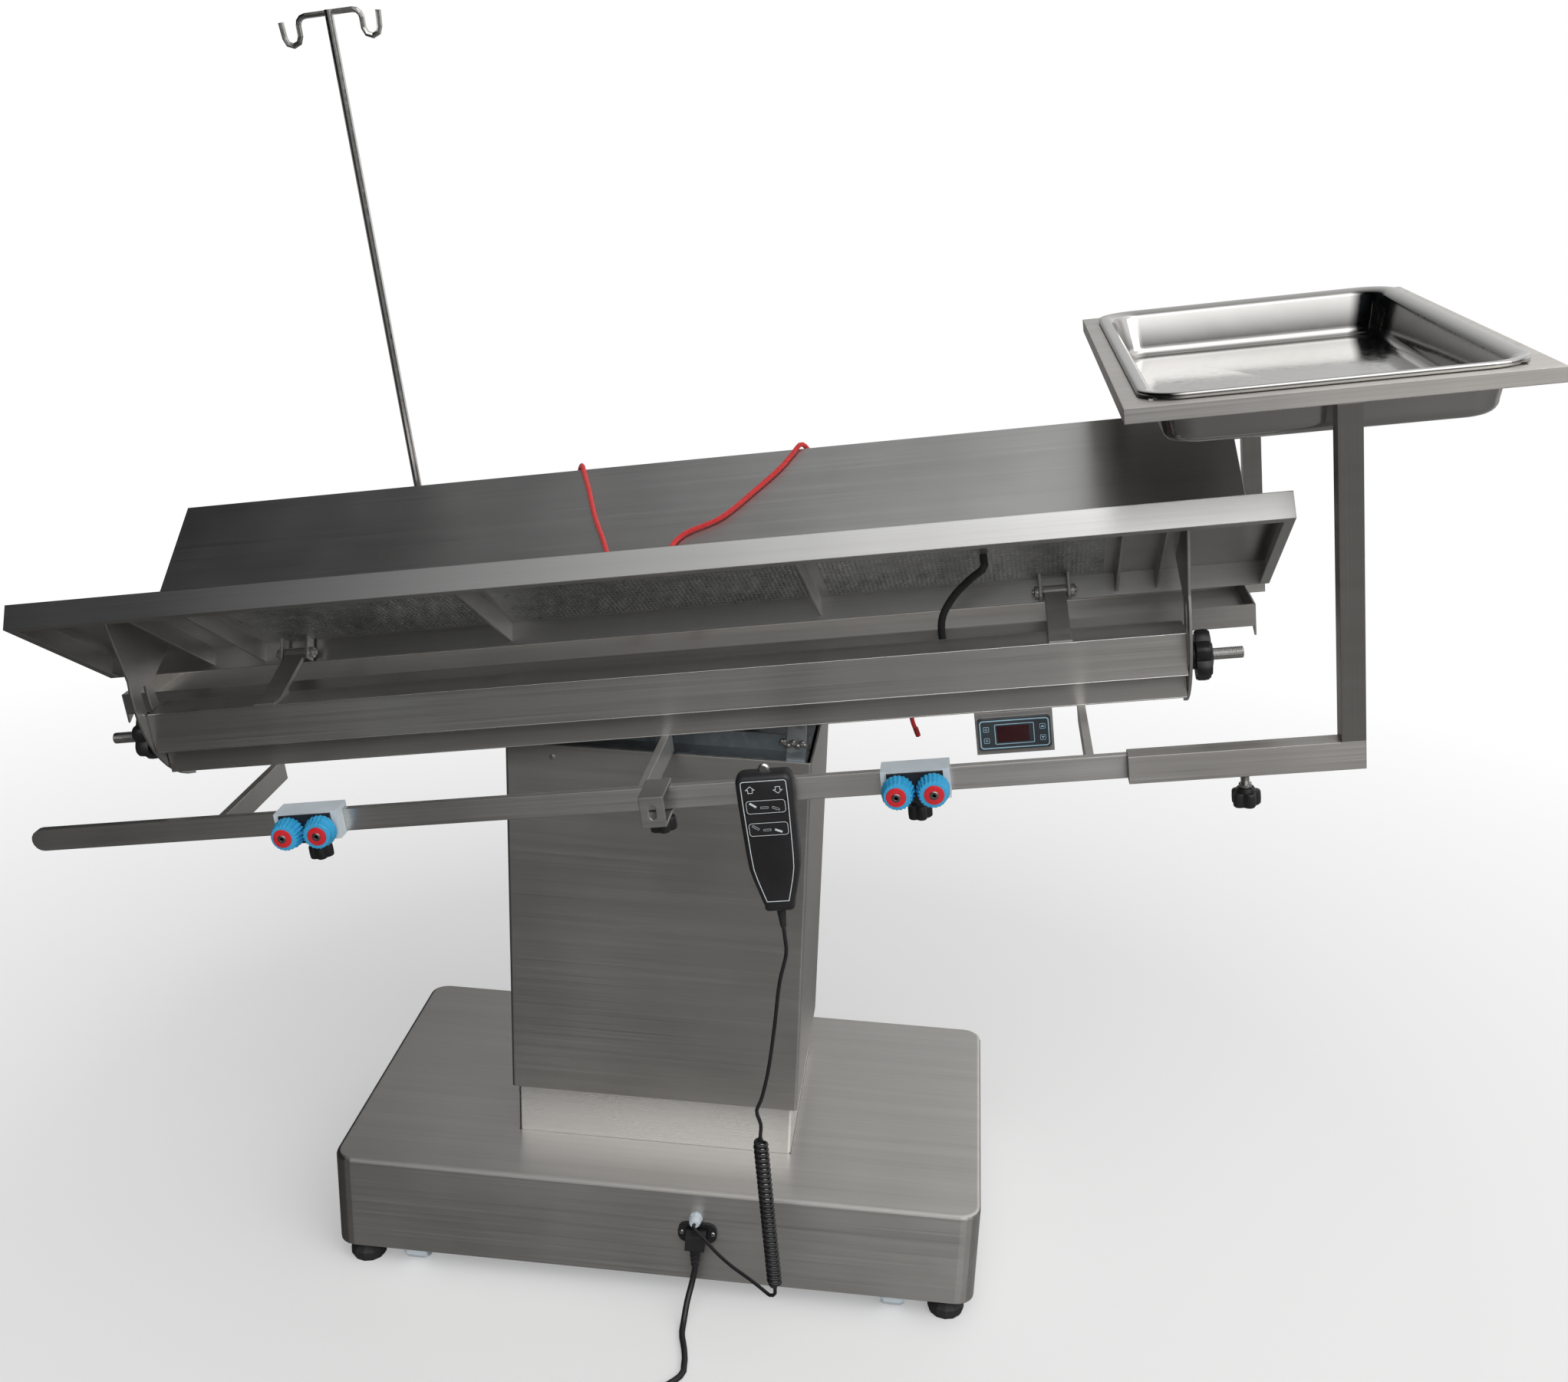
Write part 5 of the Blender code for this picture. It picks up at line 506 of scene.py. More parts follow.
def masked(name, source, axis, limit, past_colour, past_metal=0.0, past_rough=0.4,
        side="GREATER_THAN"):
    """A copy of a material that changes past a plane, for one solid of two finishes."""
    made = source.copy()
    made.name = name
    n = Nodes(made)
    past = n.maths(side, n.parts(n.place())[axis], limit)
    colour, rough = [n.shader.inputs[key].links[0].from_socket for key in ("Base Color", "Roughness")]
    metal = n.shader.inputs["Metallic"].default_value
    n.link("Base Color", n.mix(past, colour, past_colour))
    n.link("Roughness", n.even(past, rough, past_rough))
    if past_metal != metal:
        n.link("Metallic", n.even(past, metal, past_metal))
    return made


def paint(look, names):
    for name in names.split():
        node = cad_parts[name]
        if not node.data.materials:
            node.data.materials.append(look)
        for slot in node.material_slots:
            slot.link = "OBJECT"
            slot.material = look


paint(STEEL_BASE, "base_cover")
paint(STEEL_COLUMN, "outer_sleeve")
paint(STEEL_TOP, "near_beam far_beam drain_gutter socket_clamp controller_housing")
paint(STEEL_RAIL, "front_rail rear_rail")
paint(STEEL_PANEL, "near_panel far_panel")
paint(STEEL_STAND, "tray_stand")
paint(POLISHED, "lift_actuator_rod")
paint(POLE, "iv_pole")
paint(SLEEVE, "inner_sleeve")
paint(GALVANISED, "base_frame channel_bracket pivot_cradle")
paint(BLACK, "lift_actuator_body tilt_drive mains_connector mains_plug power_inlet handset_lift_rocker "
      "handset_tilt_rocker controller_key_set controller_key_rest controller_key_up "
      "controller_key_down")
FOOT = masked("rubber_foot", RUBBER, "Z", 0.0285, (0.45, 0.45, 0.44), 1.0, 0.35)
paint(FOOT, "levelling_foot_front_left levelling_foot_front_right levelling_foot_rear_left "
      "levelling_foot_rear_right")
paint(NYLON, "wheelset_front wheelset_rear")
FRONT = masked("front_block", NYLON, "Y", -0.3133, (0.014, 0.014, 0.015), side="LESS_THAN")
paint(FRONT, "left_cleat_block right_cleat_block")
REAR = masked("rear_block", NYLON, "Y", 0.3162, (0.035, 0.36, 0.66))
paint(REAR, "rear_left_cleat rear_right_cleat")


# cords
def mains_lead():
    """The lead from the connector over the floor, its spare length in the coil, to the plug."""
    x, y, z = INLET_X, INLET_Y - 0.022 * 0.62, INLET_Z - 0.0085 + 0.0006 - 0.024 - GAP
    radius = 0.0035
    floor = radius + 0.0001
    pitch = radius * 2.4
    coil = coil_route(COIL, floor, pitch, radius)
    end_x, end_y = coil[0][:2]
    route = [(x, y, z), (x, y, z - radius * 2), (x - 0.0025, y - 0.005, z - 0.023),
            (x - 0.0055, y - 0.018, z - 0.038), (x - 0.007, y - 0.034, floor + 0.002),
            (x - 0.006, y - 0.05, floor), (x, y - 0.072, floor), (x + 0.004, y - 0.095, floor),
            (x + 0.001, y - 0.118, floor), (end_x - 0.0012, end_y + 0.044, floor),
            (end_x, end_y + 0.02, floor), (end_x, end_y + 0.0003, floor)]
    points = through(BASE, *smooth_path(route, 0.009), *coil)
    curve = bpy.data.curves.new("mains_lead", "CURVE")
    curve.dimensions = "3D"
    curve.bevel_depth = radius
    curve.bevel_resolution = 3
    curve.use_fill_caps = True
    line = curve.splines.new("POLY")
    line.points.add(len(points) - 1)
    for point, place in zip(line.points, points):
        point.co = (*place, 1.0)
    curve.materials.append(CORD_SKIN)
    lead = add_object("mains_lead", curve)
    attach(lead, "base")
    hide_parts("mains_cord", "mains_coil")
    loops = []
    for along, swell in ((-0.006, 0.0), (-0.006, 0.0009), (0.006, 0.0009), (0.006, 0.0), (-0.006, 0.0)):
        section = rounded(pitch * 1.25 + radius + 0.0006 + swell, 0.008 + swell, 0.004)
        loops.append([(COIL_REACH + a, along, max(0.0, b + floor + pitch / 2)) for a, b in section])
    tie = piece("coil_tie", RUBBER, "base", BASE @ moved(*COIL, 0.0), loops, caps=False)


def coil_route(centre, floor, pitch, radius):
    turns, per_turn = 5, 24
    points = []
    for i in range(turns * per_turn + 1):
        turn = i / per_turn
        climb = min(1.0, max(0.0, (turn - turns / 2 + 0.25) / 0.5))
        climb = climb * climb * (3 - 2 * climb)
        angle = pi + tau * turn
        reach = COIL_REACH + pitch * (turns / 4 - min(turn, turns - turn))
        points.append(Vector((centre[0] + reach * cos(angle),
                centre[1] + reach * sin(angle), floor + climb * pitch)))
    ahead = (points[-1] - points[-2]).normalized()
    ahead.z = 0.0
    return points + [points[-1] + ahead * radius * 2]


def handset_leads():
    """The straight lead under the hand control, then the curly one down to the gland."""
    radius = 0.002
    start = TABLE @ Vector((HAND_U, -(0.2974 + 0.012), -0.173 - 0.022 - GAP))
    top = BASE @ Vector((HAND_U, -0.309, 0.301))
    local = start - SHIFT
    route = [start, start + Vector((sin(TILT), 0.0, -cos(TILT))) * 0.012]
    route += through(BASE, (local.x + 0.0035, -0.3093, local.z - 0.03), (0.1478, -0.3093, 0.48),
            (0.1445, -0.3094, 0.43), (0.14, -0.3096, 0.38), (0.134, -0.3096, 0.345),
            (0.1292, -0.3095, 0.329))
    points = smooth_path(route + [top + Vector((0.0, 0.0, 0.0123)), top], 0.006)
    cord_piece("handset_lead", points, radius, CORD_SKIN, ("table_frame", "lift"), start, top,
            "handset_cord", far_end="object", stiffness="limp", lay="hanging")
    bottom = BASE @ Vector((0.155, -0.302, 0.099))
    turns, per_turn, wide = 30, 20, 0.0062
    lead = Vector((0.0, 0.0, radius * 3))
    curls = [top]
    for i in range(turns * per_turn + 1):
        share = i / (turns * per_turn)
        angle = tau * i / per_turn
        grow = min(1.0, share * turns * 1.6, (1 - share) * turns * 1.6)
        centre = top + (bottom - top) * share + lead * (2 * share - 1)
        curls.append(centre + Vector((cos(angle), sin(angle), 0.0)) * wide * grow)
    tail = [bottom + lead * 0.4, bottom - lead * 0.7]
    tail += through(BASE, (0.1495, -0.299, 0.0905), (0.14, -0.2925, 0.0925), (0.124, -0.282, 0.096),
            (0.103, -0.268, 0.099), (0.085, -0.254, 0.103), (0.069, -0.24, 0.108),
            (0.058, -0.231, 0.111), (GLAND_X, GLAND_END - 0.006, GLAND_Z),
            (GLAND_X, GLAND_END, GLAND_Z))
    curls += smooth_path(tail, 0.005)[1:]
    cord_piece("handset_curls", curls, radius, CORD_SKIN, ("lift", "base"), top, bottom,
            "handset_curl", 10, far_end="object", stiffness="limp", lay="hanging")


def panel_lead():
    """Braided sleeve from the near panel's heater into the frame above the controller."""
    sheet = 0.0018
    across = HINGE_INSET - 0.106
    route = through(NEAR, *[(u, across, HINGE_DEPTH - sheet - depth) for u, depth in
            ((0.3575, 0.0006), (0.3575, 0.008), (0.3565, 0.016))])
    route += through(TABLE, (0.342, -0.129, 0.096), (0.322, -0.116, 0.074), (0.3085, -0.109, 0.048),
            (0.31, -0.106, 0.015), (0.327, -0.105, -0.008), (0.348, -0.106, -0.023),
            (0.356, -0.107, -0.031), (0.356, -0.107, -0.0405))
    points = smooth_path(route, 0.006)
    cord_piece("panel_lead", points, 0.004, RUBBER, ("near_panel", "table_frame"), points[1],
            route[5], "panel_cable", 14, far_end="object", stiffness="medium", lay="taut")


def far_point(u, s, depth):
    return FAR @ Vector((u, s - HINGE_INSET, HINGE_DEPTH - depth))


def tie_ropes():
    """Each red rope in two pieces that meet over the far rim."""
    radius = 0.003
    lying = -radius - GAP * 2.5
    outside = PANEL_WIDTH + radius * 1.9
    off = CLEAT_FACE + 0.017 / 2
    bend = off - 0.006
    left, right = REAR_CLEATS["left"], REAR_CLEATS["right"]
    tail = [(right - fall * tan(TILT) - slack, off, -depth) for fall, slack, depth in
            ((0.186, 0.007, 0.2405), (0.15, 0.019, 0.212), (0.1, 0.024, 0.16), (0.05, 0.01, 0.112))]
    # the place on the rim and the slant over it, the way up behind the panel, the point of it
    # where the rope leaves the cleat, the way down over the panel, and the end in the gutter
    ropes = {
        "left": (
            -0.13, -0.012,
            [(left, off, -0.135), (left, off, -0.09), (left, off, -0.053), (left, off, -0.01),
             (left + 0.012, bend, 0.03), (left + 0.09, 0.278, 0.105)], 3,
            [(-0.126, 0.199), (-0.1175, 0.17), (-0.106, 0.125), (-0.092, 0.085), (-0.08, 0.045),
             (-0.07, 0.011), (-0.067, -0.008)],
            [(-0.064, 0.027, 0.049), (-0.06, 0.02, 0.033)]),
        "right": (
            0.143, 0.014,
            tail + [(right, off, -0.078), (right, off, -0.053), (right, off, -0.01),
                    (right - 0.012, bend, 0.03), (right - 0.07, 0.278, 0.105)], 6,
            [(0.133, 0.199), (0.118, 0.176), (0.09, 0.144), (0.05, 0.103), (0.005, 0.08),
             (-0.01, 0.05), (0.0, 0.011), (0.004, -0.008)],
            [(0.008, 0.027, 0.049), (0.012, 0.02, 0.033)])}
    rope = {"radius": radius, "look": ROPE, "bodies": ("far_panel", "table_frame"),
            "far_end": "bare", "stiffness": "limp", "lay": "loose"}
    tip = [(0.0024, -0.0012), (0.0033, -0.0006), (0.0036, 0.003), (0.0036, 0.011), (0.0031, 0.0124)]
    for word, (rim_u, slant, behind, leave, on_panel, in_gutter) in ropes.items():
        behind = through(TABLE, *behind)
        over = [far_point(rim_u + slant, outside, PANEL_RIM * 1.1),
                far_point(rim_u + slant / 2, outside, PANEL_RIM * 0.25),
                far_point(rim_u, PANEL_WIDTH + radius * 1.15, lying * 1.15)]
        down = [far_point(u, s, lying) for u, s in on_panel] + through(TABLE, *in_gutter)
        whole = smooth_path(behind + over + down, 0.005)
        split = min(range(len(whole)), key=lambda i: (whole[i] - over[1]).length)
        back = whole[split::-1]
        cord_piece(f"rope_{word}_behind", back, start=back[2], end=behind[leave], **rope)
        cord_piece(f"rope_{word}_over", whole[split:], start=down[-4], end=down[-1],
                node=f"rope_{word}", **rope)
        direction = (back[-2] - back[-1]).normalized()
        spin = Vector((0.0, 0.0, 1.0)).rotation_difference(direction).to_matrix().to_4x4()
        piece(f"rope_{word}_tip", ROPE_TIP, "table_frame", Matrix.Translation(back[-1]) @ spin,
              turned(tip, sides=20))


mains_lead()
handset_leads()
panel_lead()
tie_ropes()


# star knobs
def lobed(lobes, depth):
    def shape(angle):
        wave = 0.5 + 0.5 * cos(lobes * angle)
        return 1.0 - depth * (1.0 - wave ** 0.6)
    return shape


def star_knob(name, radius, height, hub, place, node, lobes, hub_radius):
    """A moulded star knob: lobed grip with rounded edges, a domed end and a plain hub."""
    edge = radius * 0.1
    grip = [(radius * 0.7, -height + edge * 0.2), (radius * 0.9, -height + edge * 0.5),
            (radius * 0.98, -height + edge * 1.4), (radius, -height * 0.55),
            (radius * 0.985, -edge * 1.2), (radius * 0.93, -edge * 0.3),
            (radius * hub_radius * 1.1, 0.0)]
    dome = [(radius * 0.45, -height + edge * 0.1), (radius * 0.43, -height - edge * 0.3),
            (radius * 0.3, -height - edge * 0.45)]
    neck = [(radius * hub_radius * 1.05, -edge), (radius * hub_radius, hub * 0.4),
            (radius * hub_radius * 0.92, hub)]
    made = piece(name, BLACK_KNOB, node, place, turned(grip, sides=72, shape=lobed(lobes, 0.24)),
            turned(dome, sides=40), turned(neck, sides=40))
    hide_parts(node)


def stud_thread(name, radius, start, end, place, body, pitch=0.00175):
    """The rolled thread of a stud that shows past its knob."""
    profile = [(radius * 0.8, start)]
    count = max(2, int(abs(end - start) / pitch))
    for i in range(count):
        a = start + (end - start) * (i + 0.25) / count
        b = start + (end - start) * (i + 0.75) / count
        profile += [(radius * 1.03, a), (radius * 0.9, b)]
    profile += [(radius * 0.86, end), (radius * 0.7, end + copysign(0.0006, end - start))]
    piece(name, ZINC, body, place, turned(profile, sides=28))


STUD = (HINGE_Y + 0.1 * cos(radians(34.0)), HINGE_Z - 0.1 * sin(radians(34.0)))
for word_y, side in (("near", -1), ("far", 1)):
    for word_x, end in (("left", -1), ("right", 1)):
        turn = Matrix.Rotation(-pi / 2 * end, 4, "Y")
        at = TABLE @ moved(end * 0.5606, side * STUD[0], STUD[1]) @ turn
        name = f"{word_y}_{word_x}_knob"
        star_knob(f"{name}_grip", 0.0272, 0.0172, 0.0038, at, name, 6, 0.52)
        stud_thread(f"{name}_thread", 0.006, -0.019, -0.0484, at, "table_frame")


def small_knob(name, u, top, radius, long_stud=False):
    """A small star knob under a rail clamp, with its nut and stud if it stands long."""
    at = TABLE @ moved(u, -RAIL_MID, top)
    star_knob(f"{name}_grip", radius, 0.015, 0.0032, at @ moved(0.0, 0.0, -0.004), name, 5, 0.62)
    if long_stud:
        stud_thread(f"{name}_thread", 0.0042, 0.0, 0.019, at, name, 0.0014)
        nut = [(0.0066, 0.0138), (0.0075, 0.0144), (0.0075, 0.019), (0.0066, 0.0196)]
        collar = [(0.0058, -0.0006), (0.0062, 0.0002), (0.0062, 0.003), (0.0055, 0.0036)]
        piece(f"{name}_nut", ZINC, name, at, turned(nut, sides=6), turned(collar, sides=24), smooth=20.0)


small_knob("tray_knob", 0.588, -0.0833, 0.0142, True)
small_knob("socket_knob", 0.0123 + 0.0245 / 2, -0.0698, 0.014)
for word, u in CLEATS.items():
    small_knob(f"{word}_cleat_knob", u, -0.0743, 0.0125)


# rope cleats
def cam_shape(teeth, bite, towards):
    """A radius that is toothed on the gripping side and smooth on the far side."""
    def shape(angle):
        wave = 0.5 + 0.5 * cos(teeth * angle)
        grip = 0.5 + 0.5 * cos(angle - towards)
        return 1.0 - bite * (0.25 + 1.75 * grip) * (1.0 - wave ** 1.4)
    return shape


def cleat_details():
    """Front plates, toothed cams, caps and screws, and the rear cleats' caps and grips."""
    def fitting(name, look, body, place, profile, sides, side, smooth=35.0, **form):
        stations = [(r, side * (CLEAT_FACE + a)) for r, a in profile]
        return piece(name, look, body, place, turned(stations, "Y", sides, **form), smooth=smooth)

    cam_profile = [(0.0128, 0.0004), (0.015, 0.001), (0.0163, 0.0026), (0.0163, 0.008),
            (0.0152, 0.0104), (0.0143, 0.013), (0.0143, 0.0168), (0.0134, 0.0184), (0.0104, 0.019)]
    cap_profile = [(0.0094, 0.017), (0.0098, 0.0186), (0.0096, 0.0196), (0.0078, 0.0203),
            (0.0044, 0.0204)]
    screw_profile = [(0.0043, 0.0199), (0.0043, 0.0207), (0.0036, 0.0212), (0.0018, 0.0212),
            (0.0018, 0.0204)]
    rear_cap_profile = [(0.0086, 0.016), (0.0086, 0.019), (0.0079, 0.0202), (0.005, 0.0204)]
    grip_profile = [(0.009, -0.0196), (0.0128, -0.018), (0.0131, -0.008), (0.0126, 0.0006),
            (0.008, 0.0012)]
    for word, u in CLEATS.items():
        body = f"{word}_cleat"
        arch = rounded(0.0298, 0.0152, 0.014, (u, -0.0524))
        piece(f"{word}_cleat_plate", BLACK, body, TABLE,
              [[(x, y, z) for x, z in arch] for y in (-0.315, -(CLEAT_FACE + 0.00028))])
        for letter, end in (("a", -1), ("b", 1)):
            place = TABLE @ moved(u + end * 0.018, 0.0, RAIL_W)
            shape = cam_shape(22, 0.05, pi / 2 * (1 + end))
            node = f"{word}_cleat_cam_{letter}"
            cam = fitting(f"{word}_cam_{letter}", BLUE, node, place, cam_profile, 104, -1, 28.0,
                    centre=(-end * 0.0014, 0.0), shape=shape)
            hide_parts(node)
            fitting(f"{word}_cap_{letter}", RED_CAP, body, place, cap_profile, 40, -1)
            fitting(f"{word}_screw_{letter}", SCREW, body, place, screw_profile, 24, -1)
    for word, u in REAR_CLEATS.items():
        body = f"rear_{word}_cleat"
        for letter, end in (("a", -1), ("b", 1)):
            place = TABLE @ moved(u + end * 0.02, 0.0, RAIL_W)
            fitting(f"rear_{word}_cap_{letter}", RED_CAP, body, place, rear_cap_profile, 40, 1)
        piece(f"rear_{word}_grip", BLACK_KNOB, body, TABLE @ moved(u, RAIL_MID, -0.07),
              turned(grip_profile, sides=60, shape=lobed(5, 0.22)))


cleat_details()


# hand control
def facing(u, front, w):
    """The frame of a face of the tilted table that looks to the front."""
    return TABLE @ moved(u, -front, w) @ Matrix.Rotation(pi / 2, 4, "X")


def handset_outline(inset):
    """Right half of the outline from top to bottom, in (across, up) about the top centre."""
    def arc(radius, x, y, first, steps=7):
        turns = [first - pi / 2 * i / steps for i in range(steps + 1)]
        return [(x + radius * cos(t), y + radius * sin(t)) for t in turns]

    corner = max(0.0015, 0.0085 - inset)
    side = [(0.028, -0.026), (0.0276, -0.044), (0.027, -0.064), (0.0264, -0.084), (0.0255, -0.098),
            (0.023, -0.11), (0.0198, -0.122), (0.0168, -0.133), (0.015, -0.139 + inset * 0.3)]
    return (arc(corner, 0.028 - inset - corner, -inset - corner, pi / 2)
            + [(x - inset, y) for x, y in side]
            + arc(0.0035, 0.015 - inset - 0.0035, -0.1425 + inset, 0.0))


def mirrored(right_half):
    return right_half + [(-x, y) for x, y in reversed(right_half)]


def hand_control():
    """Moulded shell with its two recesses, its relief sleeve, its hook and the hook's rivet."""
    front, back = HAND_FRONT, HAND_BACK
    place = TABLE @ moved(HAND_U, 0.0, HAND_TOP)
    hook_place = TABLE @ moved(HAND_U, 0.0, 0.0)
    relief = [(0.005, -0.143), (0.005, -0.1478)]
    for k in range(8):
        radius, a = 0.0046 - k * 0.00022, -0.1484 - k * 0.0024
        relief += [(radius - 0.0007, a), (radius, a - 0.0003), (radius, a - 0.0014),
                (radius - 0.0007, a - 0.0017)]
    piece("hand_control_relief", RUBBER, "table_frame", place,
          turned(relief + [(0.0024, -0.1682)], "Z", 24, (0.0, -(front + back) / 2)), smooth=25.0)
    levels = [(0.004, back), (0.001, back + 0.0022), (0.0, back + 0.006), (0.0, front - 0.008),
            (0.0006, front - 0.0035), (0.0022, front - 0.001), (0.0042, front)]
    shell = piece("hand_control_shell", BLACK, "table_frame", place,
            [[(x, -y, z) for x, z in mirrored(handset_outline(inset))] for inset, y in levels],
            smooth=40.0)
    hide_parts("handset")
    for drop in ROCKER_DROPS.values():
        tool = bmesh.new()
        add_box(tool, (-0.0205, -front - 0.004, -drop - 0.008), (0.0205, -front + 0.0029, -drop + 0.008))
        tool.transform(place)
        mesh = bpy.data.meshes.new("recess")
        tool.to_mesh(mesh)
        tool.free()
        cutter = add_object("recess", mesh)
        step = shell.modifiers.new("recess", "BOOLEAN")
        step.operation, step.object, step.solver = "DIFFERENCE", cutter, "EXACT"
        bpy.context.view_layer.update()
        done = bpy.data.meshes.new_from_object(
            shell.evaluated_get(bpy.context.evaluated_depsgraph_get()))
        shell.modifiers.clear()
        shell.data = done
        bpy.data.objects.remove(cutter, do_unlink=True)
    shell.data.set_sharp_from_angle(angle=radians(40))
    rail_top = RAIL_W + RAIL_H / 2
    strip = [(-0.299, rail_top + 0.0018), (-0.295, rail_top + 0.002), (-0.288, rail_top + 0.002),
            (-0.2866, rail_top + 0.0006), (-0.2865, rail_top - 0.0118)]
    outer, inner = [], []
    for i, (y, z) in enumerate(strip):
        d = (Vector(strip[min(len(strip) - 1, i + 1)]) - Vector(strip[max(0, i - 1)])).normalized()
        n = Vector((-d.y, d.x)) * 0.0011
        outer.append((y + n.x, z + n.y))
        inner.append((y - n.x, z - n.y))
    piece("hand_control_hook", BLACK, "table_frame", hook_place,
          [[(x, y, z) for y, z in outer + inner[::-1]] for x in (-0.0135, 0.0135)], smooth=30.0)
    rivet = [(0.0035, -0.304), (0.0056, -0.3046), (0.0056, -0.307), (0.004, -0.3084)]
    piece("hand_control_rivet", ZINC, "table_frame", hook_place, turned(rivet, "Y", 28, (0.0, -0.0262)))


def printed(name, look, body, place, *strokes):
    bm = bmesh.new()
    for stroke in strokes:
        add_stroke(bm, *stroke)
    finish_piece(name, bm, look, body, place, 30.0)


def handset_prints():
    """The border, the two arrows, and the small bed signs on the rocking keys."""
    border = [point for point in handset_outline(0.0058) if point[1] > -0.1325] + [(0.0109, -0.1335)]
    arrow = [(-0.0022, -0.0026), (-0.0022, 0.0006), (-0.0042, 0.0006), (0.0, 0.0042),
            (0.0042, 0.0006), (0.0022, 0.0006), (0.0022, -0.0026)]
    printed("hand_control_print", PRINT, "table_frame", facing(HAND_U, HAND_FRONT, HAND_TOP),
            (mirrored(border)[::-1], 0.00075, True),
            *[([(x + a, b * turn - 0.015) for a, b in arrow], 0.0006, True)
              for x, turn in ((-0.0135, 1), (0.0135, -1))])
    bed = ((-0.0125, 0.0022, -0.62), (-0.0015, -0.0008, 0.0), (0.0095, -0.0022, -0.42))
    outline = ((-0.0036, -0.0009), (0.0036, -0.0009), (0.0036, 0.0009), (-0.0036, 0.0009))
    for word, bold in (("lift", 0), ("tilt", 2)):
        strokes = [(rounded(0.019, 0.0066, 0.003), 0.0005, True)]
        for index, (x, y, lean) in enumerate(bed):
            c, s = cos(lean), sin(lean)
            if index == bold:
                strokes.append(([(x + a * c, y + a * s) for a in (-0.0038, 0.0038)], 0.0021))
            else:
                strokes.append(([(x + a * c - b * s, y + a * s + b * c) for a, b in outline],
                        0.00028, True))
        body = f"handset_{word}_rocker"
        crown = facing(HAND_U, HAND_FRONT - 0.003 + GAP + 0.0027, HAND_TOP - ROCKER_DROPS[word])
        printed(f"{body}_print", PRINT, body, crown, *strokes)


hand_control()
handset_prints()


# temperature controller
def controller_face():
    face = facing(0.335 + 0.04, 0.152 + 0.004, -0.0417 - GAP - 0.023)
    bm = bmesh.new()
    outline = rounded(0.0376, 0.0174, 0.0035)
    add_loft(bm, [[(x * k, y * k, z) for x, y in outline]
            for k, z in ((1.0, -0.0036), (1.0, -0.0004), (0.985, 0.0002))], False)
    rim = [v for v in bm.verts if v.co.z > 0.0001]
    bm.faces.new(sorted(rim, key=lambda v: atan2(v.co.y, v.co.x)))
    finish_piece("controller_mask_rim", bm, FACE, "table_frame", face @ moved(0.0, 0.0, -0.0001), 30.0)
    printed("controller_print", BLUE_PRINT, "table_frame", face,
            (rounded(0.0352, 0.015, 0.003), 0.0011, True, 0.00025, 0.0001),
            (rounded(0.02, 0.0108, 0.0012), 0.0007, True, 0.00025, 0.0001))
    bm = bmesh.new()
    add_box(bm, (-0.018, -0.0088, -0.0005), (0.015, 0.0088, 0.0005), 0.0004)
    finish_piece("controller_window", bm, DISPLAY, "table_frame", face, 30.0)
    dot = [(0.0012 * cos(tau * k / 12), 0.0012 * sin(tau * k / 12)) for k in range(12)]
    for word, sx, sy in (("set", -1, 1), ("rest", -1, -1), ("up", 1, 1), ("down", 1, -1)):
        body = f"controller_key_{word}"
        arrow = [(-0.0013, -0.0008 * sy), (0.0, 0.001 * sy), (0.0013, -0.0008 * sy)]
        printed(f"{body}_print", BLUE_PRINT, body, face @ moved(sx * 0.029, sy * 0.0062, 0.00062),
                (rounded(0.0027, 0.0027, 0.0006), 0.00045, True),
                (arrow, 0.0006, True) if sx > 0 else (dot, 0.0004, True))


controller_face()


# instrument tray
def pressed_tray():
    """A deep drawn tray: rolled rim, sloping walls and a wide radius into the floor."""
    rest, sheet, rim, rise, bend = 0.2892, 0.0015, 0.014, 0.006, 0.013
    floor, foot = rest - 0.047, rim + 0.008
    turns = [pi / 2 * k / 7 for k in range(8)]

    def corner(radius, angles):
        return [(foot + bend - radius * sin(t), floor + bend - radius * cos(t)) for t in angles]

    edge = [(rim, rest - sheet), (rim - sheet / 2, rest), (sheet, rest),
            (sheet * 0.3, rest + sheet * 0.3), (0.0, rest + sheet), (0.0, rest + rise * 0.6),
            (sheet * 0.3, rest + rise * 0.86), (sheet, rest + rise * 0.97),
            (sheet * 2, rest + rise), (sheet * 4, rest + rise * 0.94),
            (rim - sheet * 2, rest + rise * 0.62), (rim - sheet * 0.4, rest + rise * 0.3),
            (rim + sheet * 0.5, rest + sheet * 0.2), (rim + sheet, rest - sheet)]
    profile = corner(bend, turns) + edge + corner(bend - sheet, turns[::-1])
    loops = []
    for inset, w in profile:
        outline = rounded(0.16975 - inset, 0.2925 - inset, 0.04 - inset * 0.5, (0.67825, 0.0), 14)
        loops.append([(x, y, w) for x, y in outline])
    tray = piece("pressed_tray", TRAY_FINISH, "tray", TABLE, loops, smooth=50.0)
    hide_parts("tray")


pressed_tray()


